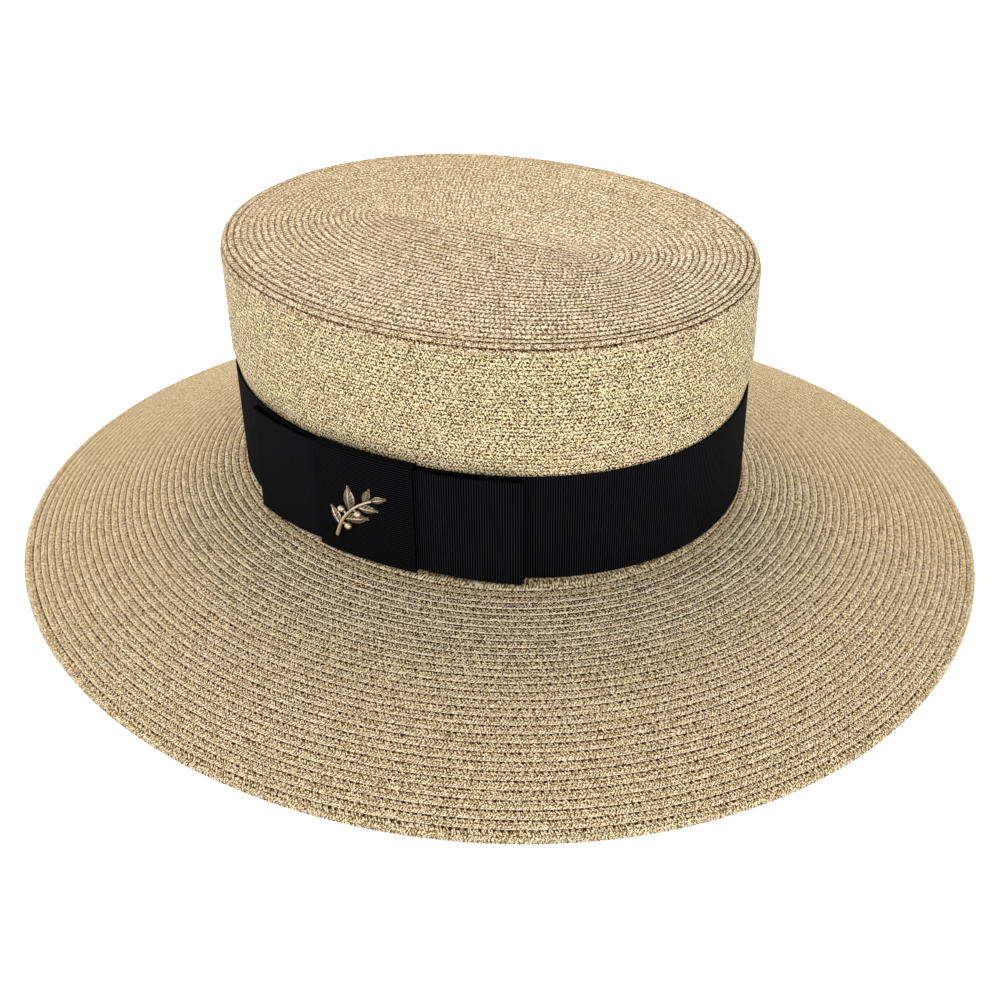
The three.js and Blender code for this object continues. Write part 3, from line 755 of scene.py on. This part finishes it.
    # Metallic thread lies in the brightest flecks, each facing its own way.
    metal = add(MATH, TIMES, add(MATH, ABOVE, fleck.outputs[0], THREAD_ABOVE), THREAD_METAL)
    rough = add(MAP_RANGE, {}, metal, 0.0, 1.0, 0.7, 0.3)
    centred = add(VECTOR_MATH, MINUS, flecks.outputs["Color"], (0.5, 0.5, 0.5))
    tipped = add(VECTOR_MATH, {"operation": "SCALE"}, {0: centred, "Scale": THREAD_TILT})
    turned = add(VECTOR_MATH, PLUS, add("ShaderNodeNewGeometry", {}).outputs["Normal"], tipped)
    unit = add(VECTOR_MATH, {"operation": "NORMALIZE"}, turned)
    bump = add("ShaderNodeBump", {}, {"Strength": 0.7, "Distance": 0.3 * MM, "Height": level, "Normal": unit})
    shader = add("ShaderNodeBsdfPrincipled", {}, {
        "Base Color": colour.outputs[2], "Metallic": metal, "Roughness": rough, "IOR": 1.5,
        "Specular IOR Level": 0.04, "Normal": bump})
    add("ShaderNodeOutputMaterial", {}, shader)
    return material


def grosgrain(name, settings, top, valley):
    """Black woven viscose ribbon. The eye sees close ribs with a faint cool sheen on their tops. The sheen is
    painted as a lighter tone on each rib's top, set by top, and painted shade darkens the valley where two ribs
    meet, set by valley.
    """
    material, add = new_material(name)
    weave = add("ShaderNodeUVMap", {"uv_map": "weave"})
    threads = add("ShaderNodeTexNoise", {}, {"Vector": weave, "Scale": 3.0, "Detail": 2.0})
    # One rib for each unit along the ribbon: a painted highlight on its top and painted shade where two ribs
    # meet
    rib = add(MATH, ABSOLUTE, add(MATH, MINUS, add(MATH, FRACT, add(SPLIT, {}, weave)), 0.5))
    tone = add(MAP_RANGE, {}, add(MATH, PLUS, rib, add(MATH, TIMES, threads, 0.12)), 0.1, 0.38, top, valley)
    colour = add("ShaderNodeMix", COLOUR_TIMES, {"Factor": 1.0, 6: opaque(settings.colour), 7: tone})
    bump = add("ShaderNodeBump", {}, {"Strength": 0.4, "Distance": 0.08 * MM, "Height": threads})
    shader = add("ShaderNodeBsdfPrincipled", {}, {
        "Base Color": colour.outputs[2], "Roughness": 0.65, "IOR": 1.45, "Specular IOR Level": 0.02,
        "Normal": bump})
    add("ShaderNodeOutputMaterial", {}, shader)
    return material


def antique_gold(name, settings):
    """Cast zinc, plated and darkened, then rubbed: bright gold on what stands up, brown in the hollows."""
    material, add = new_material(name)
    relief = add("ShaderNodeAttribute", {"attribute_name": "relief"})
    in_hat = add("ShaderNodeTexCoord", {}).outputs["Object"]
    patches = add("ShaderNodeTexNoise", {}, {"Vector": in_hat, "Scale": 900.0, "Detail": 3.0})
    worn = add(MATH, {**PLUS, "use_clamp": True}, relief.outputs["Fac"],
               add(MATH, TIMES, add(MATH, MINUS, patches, 0.5), 0.6))
    colour = add("ShaderNodeMix", COLOUR_MIX, {
        "Factor": worn, 6: opaque(settings.dark), 7: opaque(settings.bright)})
    rough = add(MAP_RANGE, {}, worn, 0.0, 1.0, 0.6, 0.3)
    bump = add("ShaderNodeBump", {}, {"Strength": 0.3, "Distance": 0.1 * MM, "Height": patches})
    shader = add("ShaderNodeBsdfPrincipled", {}, {
        "Base Color": colour.outputs[2], "Metallic": 1.0, "Roughness": rough, "Normal": bump})
    add("ShaderNodeOutputMaterial", {}, shader)
    return material


def lit_table(name, colour):
    """Matt white acrylic, lit from below. The eye sees an even pale ground with almost no shadow."""
    material, add = new_material(name)
    shader = add("ShaderNodeBsdfPrincipled", {}, {
        "Base Color": opaque(colour), "Roughness": 0.9, "Specular IOR Level": 0.1,
        "Emission Color": (1, 1, 1, 1), "Emission Strength": 0.8})
    add("ShaderNodeOutputMaterial", {}, shader)
    return material


# Operators


class BOATER_OT_brim(bpy.types.Operator):
    """Sewn rows of the brim, with a looped thread along the rim"""
    bl_idname = "boater.brim"
    bl_label = "Brim"

    def execute(self, context):
        straw = context.scene.boater_straw
        material = straw_braid("paper_straw_braid_brim", straw, ROW_WIDTH / MM, 1.13, 2.0, BRIM_LOOK)
        straw_piece(straw, "brim_braid", "brim", (360, BRIM_ROWS, brim_surface, straw.brim_relief), upward,
                    material)
        rim_loops(straw, material)
        return {"FINISHED"}


LOOP_SHADE_PLACES = (0.45, 0.55, 0.65, 0.7, 0.6, 0.4, 0.2, 0.1, 0.2)   # place round an edge loop's section in the braid's row pattern: its underside falls in the rows' painted shade and stitch holes, so it is painted darker than its top
LOOP_SWELL = (0.72, 1.0, 1.12, 1.0)   # one loop's thickness, along the rim


def rim_loops(straw, material):
    """A beaded edge along the rim: the small thread loops of the braid's edge. Each loop's underside is painted
    darker, as shade.
    """
    around, steps = len(LOOP_SHADE_PLACES) - 1, len(LOOP_SWELL)
    dense = np.linspace(0, 2 * math.pi, 4001)
    rim = brim_point(dense, 1.0)
    lengths = lengths_along(rim)
    columns = round(lengths[-1] / straw.loop_pitch) * steps
    piece, column, row = grid_piece("rim_loops", columns, around)
    angle = np.interp(np.arange(columns + 1) / columns * lengths[-1], lengths, dense)
    angle[-1] = 0
    here = brim_point(angle, 1.0)
    across = unit_rows(here - brim_point(angle, 0.98))
    ahead = unit_rows(brim_point(angle + SMALL_TURN, 1.0) - brim_point(angle - SMALL_TURN, 1.0))
    up = np.cross(across, ahead)
    up *= np.sign(up[:, 2:3])
    middle = here - up * straw.thickness / 2 - across * 0.25 * MM
    swell = np.array(LOOP_SWELL)[np.arange(columns + 1) % steps]
    turn = 2 * math.pi * row / around
    reach = swell[column] * 0.62 * MM
    tall = swell[column] * (straw.thickness / 2 + 0.12 * MM)
    place(piece, middle[column] + across[column] * (np.cos(turn) * reach)[:, None]
          + up[column] * (np.sin(turn) * tall)[:, None])
    along = np.tile(np.arange(columns + 1) / columns * lengths[-1] / MM, (around, 1))
    map_grid(piece, column, row, along, np.array(LOOP_SHADE_PLACES), layer="braid")
    close_and_face(piece, sideways)
    make_outside(piece)
    smooth(piece, 60)
    finish_piece(piece, "straw", material)


class BOATER_OT_crown_side(bpy.types.Operator):
    """Sewn rows of the crown's side wall"""
    bl_idname = "boater.crown_side"
    bl_label = "Crown side"

    def execute(self, context):
        straw = context.scene.boater_straw
        material = straw_braid("paper_straw_braid_side", straw, 3.15, 1.2, 2.0, SIDE_LOOK)
        straw_piece(straw, "crown_side_braid", "crown_side",
                    (320, SIDE_ROWS, side_surface, straw.side_relief), sideways, material)
        return {"FINISHED"}


class BOATER_OT_crown_tip(bpy.types.Operator):
    """Sewn rows of the crown's flat tip and its lip"""
    bl_idname = "boater.crown_tip"
    bl_label = "Crown tip"

    def execute(self, context):
        straw = context.scene.boater_straw
        material = straw_braid("paper_straw_braid_tip", straw, 2.85, 1.75, 1.0, TIP_LOOK)
        straw_piece(straw, "crown_tip_braid", "crown_tip",
                    (320, TIP_ROWS, tip_surface, straw.tip_relief), from_middle, material)
        return {"FINISHED"}


def rib_wave(distance, settings):
    """Height of the ribbon's ribs at a distance along it."""
    return settings.rib_relief * np.abs(np.sin(math.pi * distance / settings.rib_pitch)) ** RIB_ROUNDING


class BOATER_OT_ribbon_band(bpy.types.Operator):
    """Ribbon band round the foot of the crown"""
    bl_idname = "boater.ribbon_band"
    bl_label = "Ribbon band"

    def execute(self, context):
        ribbon = context.scene.boater_ribbon
        around = 4 * BAND_ALONG[-1]
        ribs = round(around / ribbon.rib_pitch)
        columns, rows = ribs * RIB_STEPS, 8
        piece, column, row = grid_piece("band_ribbon", columns, rows)
        distance = np.arange(columns + 1) / columns * around
        quarter = distance % (2 * BAND_ALONG[-1])
        back = quarter > BAND_ALONG[-1]
        within = np.interp(np.where(back, 2 * BAND_ALONG[-1] - quarter, quarter), BAND_ALONG, BAND_ANGLES)
        angle = np.where(back, math.pi - within, within) + (distance >= 2 * BAND_ALONG[-1]) * math.pi
        angle[-1] = 0
        lift = rib_wave(np.arange(columns + 1) * ribbon.rib_pitch / RIB_STEPS, ribbon)
        height = BAND_WIDTH * row / rows
        place(piece, crown_point(angle[column], height, BAND_OUT - ribbon.rib_relief + lift[column]))
        along = np.tile(np.arange(columns + 1) / RIB_STEPS, (rows, 1))
        map_grid(piece, column, row, along, BAND_WIDTH / MM * np.arange(rows + 1) / rows)
        close_and_face(piece, sideways)
        thicken(piece, ribbon.thickness)
        smooth(piece, 50)
        finish_piece(piece, "ribbon", ribbon_material(ribbon), "ribbon_band")
        return {"FINISHED"}


# The knot is the same ribbon painted darker, as painted shade, with darker painted shade between its ribs.
def knot_material(settings):
    return grosgrain("grosgrain_ribbon_knot_painted_shade", settings, 1.9, -0.7)


def ribbon_material(settings):
    return bpy.data.materials.get("grosgrain_ribbon") or grosgrain("grosgrain_ribbon", settings, 2.3, -0.4)


# The front loop is the same ribbon with a painted sheen: a fainter painted highlight on its ribs and lighter
# painted shade between them.
def sheen_ribbon_material(settings):
    return grosgrain("grosgrain_ribbon_painted_sheen", settings, 1.2, 0.5)


def loop_path(spacing, side):
    """Middle line of a loop's ribbon, from under the knot, round the fold and back, evenly spaced."""
    inner_end = LOOP_REST + CAD_RIBBON / 2
    outer_end = LOOP_PROUD - CAD_RIBBON / 2
    radius = (outer_end - inner_end) / 2
    fold = (LOOP_REACH if side > 0 else FRONT_LOOP_REACH) - CAD_RIBBON / 2 - radius
    mouth = KNOT_LENGTH / 2 + KNOT_SHIFT * side
    settle = mouth + (fold - mouth) * LOOP_SETTLES
    leave = mouth + (fold - mouth) * LOOP_LEAVES
    path = [(CLEARANCE, LOOP_INNER_OUT), (mouth, LOOP_INNER_OUT), (settle, inner_end)]
    for turn in np.linspace(-math.pi / 2, math.pi / 2, 25):
        path.append((fold + radius * math.cos(turn), inner_end + radius * (1 + math.sin(turn))))
    dip = LOOP_OUTER_OUT - LOOP_DIP
    path += [(leave, LOOP_OUTER_OUT), (mouth + LOOP_DIP, dip), (CLEARANCE, dip)]
    path = np.array(path)
    lengths = lengths_along(path)
    even = np.linspace(0, lengths[-1], int(lengths[-1] / spacing) + 1)
    fine = np.stack([np.interp(even, lengths, path[:, i]) for i in (0, 1)], axis=-1)
    for _ in range(12):
        fine[1:-1] = (fine[:-2] + 2 * fine[1:-1] + fine[2:]) / 4
    return fine, even


def bow_loop(ribbon, name, side, material, cad_node):
    """A flat loop of ribbon on one side of the knot: -1 is the front and 1 the back."""
    path, distance = loop_path(ribbon.rib_pitch / RIB_STEPS, side)
    rows = 12
    piece, column, row = grid_piece(name, len(path) - 1, rows)
    ahead = unit_rows(np.gradient(path, axis=0))
    outside = np.stack([ahead[:, 1], -ahead[:, 0]], axis=-1)
    face = path + outside * (CAD_RIBBON / 2 - ribbon.rib_relief + rib_wave(distance, ribbon))[:, None]
    free = smoothstep(path[:, 0], KNOT_LENGTH / 2, LOOP_REACH)
    low = LAYER_PITCH + (CLEARANCE - LAYER_PITCH) * free
    tall = LOOP_RIBBON_WIDTH - LOOP_PINCH * (1 - free)
    height = low[column] + tall[column] * row / rows
    place(piece, bow_point(side * face[column, 0], height, face[column, 1]))
    along = np.tile(distance / ribbon.rib_pitch, (rows, 1))
    map_grid(piece, column, row, along, LOOP_RIBBON_WIDTH / MM * np.arange(rows + 1) / rows)
    middle = Vector(bow_point(
        side * LOOP_REACH * 0.6, KNOT_HEIGHT / 2, (LOOP_INNER_OUT + LOOP_OUTER_OUT) / 2).tolist())
    close_and_face(piece, lambda centre: centre - middle)
    thicken(piece, ribbon.thickness)
    smooth(piece, 50)
    finish_piece(piece, "ribbon", material, cad_node)


def knot_strap(ribbon):
    """The strap round the loops' inner ends, with its ribs along the band."""
    radius = KNOT_CORNER
    corners = (
        (KNOT_HEIGHT - radius, CLEARANCE + KNOT_DEPTH - radius, 0),
        (radius, CLEARANCE + KNOT_DEPTH - radius, 90),
        (radius, CLEARANCE + radius, 180),
        (KNOT_HEIGHT - radius, CLEARANCE + radius, 270),
    )
    outline = [
        (height + radius * math.cos(math.radians(start + turn)),
         out + radius * math.sin(math.radians(start + turn)))
        for height, out, start in corners for turn in range(0, 91, 15)]
    outline = np.array(outline + outline[:1])
    lengths = lengths_along(outline)
    ribs = round(lengths[-1] / (ribbon.rib_pitch * KNOT_RIBS_WIDER))
    columns, rows = ribs * RIB_STEPS, 16
    distance = np.linspace(0, lengths[-1], columns + 1)
    line = np.stack([np.interp(distance, lengths, outline[:, i]) for i in (0, 1)], axis=-1)
    ahead = np.roll(line[:-1], -1, axis=0) - np.roll(line[:-1], 1, axis=0)
    ahead = unit_rows(np.vstack([ahead, ahead[:1]]))
    outside = np.stack([-ahead[:, 1], ahead[:, 0]], axis=-1)
    centre = np.array([KNOT_HEIGHT / 2, CLEARANCE + KNOT_DEPTH / 2])
    outside *= np.sign(np.sum(outside * (line - centre), axis=1, keepdims=True))
    wave = np.abs(np.sin(math.pi * np.arange(columns + 1) / RIB_STEPS)) ** RIB_ROUNDING
    line = line + outside * (ribbon.rib_relief * (wave - 1))[:, None]
    piece, column, row = grid_piece("knot_strap", columns, rows)
    place(piece, bow_point(KNOT_SHIFT + KNOT_LENGTH * (row / rows - 0.5), line[column, 0], line[column, 1]))
    along = np.tile(np.arange(columns + 1) / RIB_STEPS, (rows, 1))
    map_grid(piece, column, row, along, KNOT_LENGTH / MM * np.arange(rows + 1) / rows)
    middle = Vector(bow_point(0.0, *centre).tolist())
    close_and_face(piece, lambda face_centre: (face_centre - middle) * Vector((1, 0, 1)))
    thicken(piece, ribbon.thickness)
    smooth(piece, 50)
    finish_piece(piece, "ribbon", knot_material(ribbon), "bow_knot")


class BOATER_OT_bow(bpy.types.Operator):
    """Flat bow: two loops of ribbon and the strap round their middle"""
    bl_idname = "boater.bow"
    bl_label = "Bow"

    def execute(self, context):
        ribbon = context.scene.boater_ribbon
        bow_loop(ribbon, "loop_ribbon_front", -1, sheen_ribbon_material(ribbon), "bow_loop_front")
        bow_loop(ribbon, "loop_ribbon_back", 1, ribbon_material(ribbon), "bow_loop_back")
        knot_strap(ribbon)
        return {"FINISHED"}


def stem_point(share):
    """A point on the stem's middle line, in the sprig's own plane."""
    share = np.asarray(share, dtype=float)
    return np.stack([
        (share - 0.5) * STEM_LENGTH,
        STEM_BOW * STEM_LENGTH * (4 * share * (1 - share) - 0.6),
        np.full_like(share, STEM_RADIUS)], axis=-1)


def stem_heading(share, turn_degrees=0.0):
    """Direction of the stem, or of what branches from it, in the sprig's own plane."""
    ahead = stem_point(share + 0.01) - stem_point(share - 0.01)
    angle = math.atan2(ahead[1], ahead[0]) + math.radians(turn_degrees)
    return np.array([math.cos(angle), math.sin(angle), 0.0])


def set_relief(piece, values):
    """Stores how much each point stands up and is rubbed bright."""
    layer = piece.data.attributes.new("relief", "FLOAT", "POINT")
    layer.data.foreach_set("value", np.clip(values, 0, 1))


def sprig_leaf(number, place_on_stem, side, size, angle):
    """A cast leaf: pointed at both ends, with a midrib, slanting veins and a raised rim."""
    columns, rows = 36, 20
    piece, column, row = grid_piece("sprig_leaf_" + str(number), columns, rows)
    share = column / columns
    offset = row / rows * 2 - 1
    half = LEAF_WIDTH / 2 * size * np.sin(math.pi * (0.01 + 0.98 * share) ** 0.85)
    heading = stem_heading(place_on_stem, side * angle)
    across = np.array([-heading[1], heading[0], 0.0])
    vein = 0.5 + 0.5 * np.cos(2 * math.pi * (share * 7 - np.abs(offset) * 1.6))
    rib = np.exp(-(offset / 0.13) ** 2)
    rim = np.clip((np.abs(offset) - 0.8) / 0.2, 0, 1)
    relief = np.maximum(np.maximum(rib, rim * 0.8), vein * 0.45 * (1 - rib))
    rise = LEAF_RISE * size * (0.25 + 0.45 * (1 - offset ** 2) * np.sin(math.pi * share)) + 0.32 * MM * relief
    rise = np.where(np.abs(offset) > 0.99, 0.25 * MM, rise)
    root = stem_point(place_on_stem)
    flat = root + np.outer(share * LEAF_LENGTH * size, heading) + np.outer(offset * half, across)
    flat[:, 2] = rise
    return piece, flat, relief * 1.1 - 0.05


def sprig_stem():
    columns, rows = 40, 10
    piece, column, row = grid_piece("sprig_stem", columns, rows)
    share = column / columns
    turn = 2 * math.pi * row / rows
    ahead = unit_rows(np.gradient(stem_point(np.linspace(0, 1, columns + 1)), axis=0))
    across = np.stack([-ahead[:, 1], ahead[:, 0], np.zeros(columns + 1)], axis=-1)
    radius = STEM_RADIUS * (1 - 0.4 * share) * np.where((column == 0) | (column == columns), 0.0, 1.0)
    flat = stem_point(share) + across[column] * (np.cos(turn) * radius)[:, None]
    flat[:, 2] += np.sin(turn) * radius
    return piece, flat, 0.35 + 0.65 * np.sin(turn)


def sprig_berry(number, place_on_stem, side, stalk):
    start_alone()
    bpy.ops.mesh.primitive_uv_sphere_add(segments=20, ring_count=12, radius=BERRY_RADIUS, location=(0, 0, 0))
    piece = bpy.context.object
    piece.name = piece.data.name = "sprig_berry_" + str(number)
    flat = point_places(piece)
    relief = 0.2 + 0.8 * flat[:, 2] / BERRY_RADIUS
    centre = stem_point(place_on_stem) + stem_heading(place_on_stem, side * BERRY_ANGLE) * stalk * LEAF_LENGTH
    centre[2] = BERRY_RADIUS * 0.85
    return piece, flat + centre, relief


def berry_stalk(number, place_on_stem, side, stalk):
    start_alone()
    bpy.ops.mesh.primitive_cylinder_add(vertices=10, radius=STEM_RADIUS * 0.6, depth=1, location=(0, 0, 0))
    piece = bpy.context.object
    piece.name = piece.data.name = "sprig_stalk_" + str(number)
    flat = point_places(piece)
    heading = stem_heading(place_on_stem, side * BERRY_ANGLE)
    across = np.array([-heading[1], heading[0], 0.0])
    length = stalk * LEAF_LENGTH
    made = (stem_point(place_on_stem) + np.outer((flat[:, 2] + 0.5) * length, heading)
            + np.outer(flat[:, 0], across))
    made[:, 2] += flat[:, 1]
    return piece, made, np.full(len(made), 0.5)


class BOATER_OT_sprig(bpy.types.Operator):
    """Cast metal sprig on the knot: a stem with leaves and berries"""
    bl_idname = "boater.sprig"
    bl_label = "Sprig"

    def execute(self, context):
        sprig = context.scene.boater_sprig
        made = [sprig_stem()]
        made += [sprig_leaf(number, *leaf) for number, leaf in enumerate(LEAVES)]
        for number, berry in enumerate(BERRIES):
            made += [sprig_berry(number, *berry), berry_stalk(number, *berry)]
        seat = CLEARANCE + KNOT_DEPTH + 0.05 * MM
        cos, sin = math.cos(sprig.tilt), math.sin(sprig.tilt)
        for piece, flat, relief in made:
            along = sprig.along + flat[:, 0] * cos - flat[:, 1] * sin
            height = sprig.height + flat[:, 0] * sin + flat[:, 1] * cos
            place(piece, bow_point(along, height, seat + np.maximum(flat[:, 2], 0)))
            set_relief(piece, relief)
            weld(piece)
            if "leaf" in piece.name:
                close_and_face(piece, lambda _: Vector((1, 0.05, 0)))
                thicken(piece, LEAF_WALL)
            else:
                make_outside(piece)
        start_alone()
        for piece, _, _ in made:
            piece.select_set(True)
        context.view_layer.objects.active = made[0][0]
        bpy.ops.object.join()
        whole = context.object
        whole.name = whole.data.name = "cast_sprig"
        smooth(whole, 50)
        finish_piece(whole, "gilt_metal", antique_gold("antique_gold_casting", sprig), "sprig")
        return {"FINISHED"}


class BOATER_OT_stage(bpy.types.Operator):
    """Pale floor, soft studio light and the camera"""
    bl_idname = "boater.stage"
    bl_label = "Stage"

    def execute(self, context):
        stage = context.scene.boater_stage
        start_alone()
        bpy.ops.mesh.primitive_plane_add(size=16, location=(0, 0, 0))
        floor = context.object
        floor.name = floor.data.name = "floor"
        floor.data.materials.append(lit_table("lit_white_acrylic", stage.floor))

        scene = context.scene
        scene.view_settings.view_transform = "Standard"
        world = bpy.data.worlds.new("studio")
        world.use_nodes = True
        background = world.node_tree.nodes["Background"]
        background.inputs["Color"].default_value = (1, 1, 1, 1)
        background.inputs["Strength"].default_value = 0.88
        scene.world = world

        # Each light's name, turn from the camera, rise, distance, size and power
        turn = stage.camera_turn
        for name, side, rise, distance, size, power in (
                ("key_light", 3.1, 0.9, 1.6, 1.0, 11),
                ("fill_light", 0.2, 0.12, 1.8, 1.2, 12),
                ("side_light", -1.5, 0.6, 1.7, 0.8, 4)):
            bpy.ops.object.light_add(type="AREA", location=(
                distance * math.cos(turn + side) * math.cos(rise),
                distance * math.sin(turn + side) * math.cos(rise),
                distance * math.sin(rise) + 0.05))
            light = context.object
            light.name = light.data.name = name
            light.data.size = size
            light.data.energy = power
            light.rotation_euler = (-light.location).to_track_quat("-Z", "Y").to_euler()

        cos, sin = math.cos, math.sin
        rise, roll = stage.camera_rise, stage.camera_roll
        back = np.array([cos(turn) * cos(rise), sin(turn) * cos(rise), sin(rise)])
        right = np.array([-sin(turn), cos(turn), 0])
        up = np.cross(back, right)
        rolled_right = cos(roll) * right + sin(roll) * up
        rolled_up = -sin(roll) * right + cos(roll) * up
        position = np.array([0, 0, HEADLINE]) + back * stage.camera_distance
        data = bpy.data.cameras.new("camera")
        camera = bpy.data.objects.new("camera", data)
        scene.collection.objects.link(camera)
        matrix = np.eye(4)
        matrix[:3, 0], matrix[:3, 1], matrix[:3, 2], matrix[:3, 3] = rolled_right, rolled_up, back, position
        camera.matrix_world = Matrix(matrix.tolist())
        data.sensor_width = 36
        data.lens = 57.98
        data.shift_x = 0.01059
        data.shift_y = -0.05201
        data.clip_end = 50
        scene.camera = camera
        return {"FINISHED"}


OPERATORS = (
    BOATER_OT_brim, BOATER_OT_crown_side, BOATER_OT_crown_tip, BOATER_OT_ribbon_band, BOATER_OT_bow,
    BOATER_OT_sprig, BOATER_OT_stage)


class BOATER_PT_panel(bpy.types.Panel):
    """The steps that make the hat, in order"""
    bl_label = "Boater"
    bl_idname = "BOATER_PT_panel"
    bl_space_type = "VIEW_3D"
    bl_region_type = "UI"
    bl_category = "Boater"

    def draw(self, context):
        for operator in OPERATORS:
            self.layout.operator(operator.bl_idname)


SETTINGS = {
    "boater_straw": StrawSettings,
    "boater_ribbon": RibbonSettings,
    "boater_sprig": SprigSettings,
    "boater_stage": StageSettings,
}


def register():
    for kind in (*SETTINGS.values(), *OPERATORS, BOATER_PT_panel):
        bpy.utils.register_class(kind)
    for name, group in SETTINGS.items():
        setattr(bpy.types.Scene, name, bpy.props.PointerProperty(type=group))


def unregister():
    for name in SETTINGS:
        delattr(bpy.types.Scene, name)
    for kind in (BOATER_PT_panel, *reversed(OPERATORS), *SETTINGS.values()):
        bpy.utils.unregister_class(kind)


def main():
    register()
    bpy.ops.boater.brim()
    bpy.ops.boater.crown_side()
    bpy.ops.boater.crown_tip()
    bpy.ops.boater.ribbon_band()
    bpy.ops.boater.bow()
    bpy.ops.boater.sprig()
    bpy.ops.boater.stage()


if __name__ == "__main__":
    main()
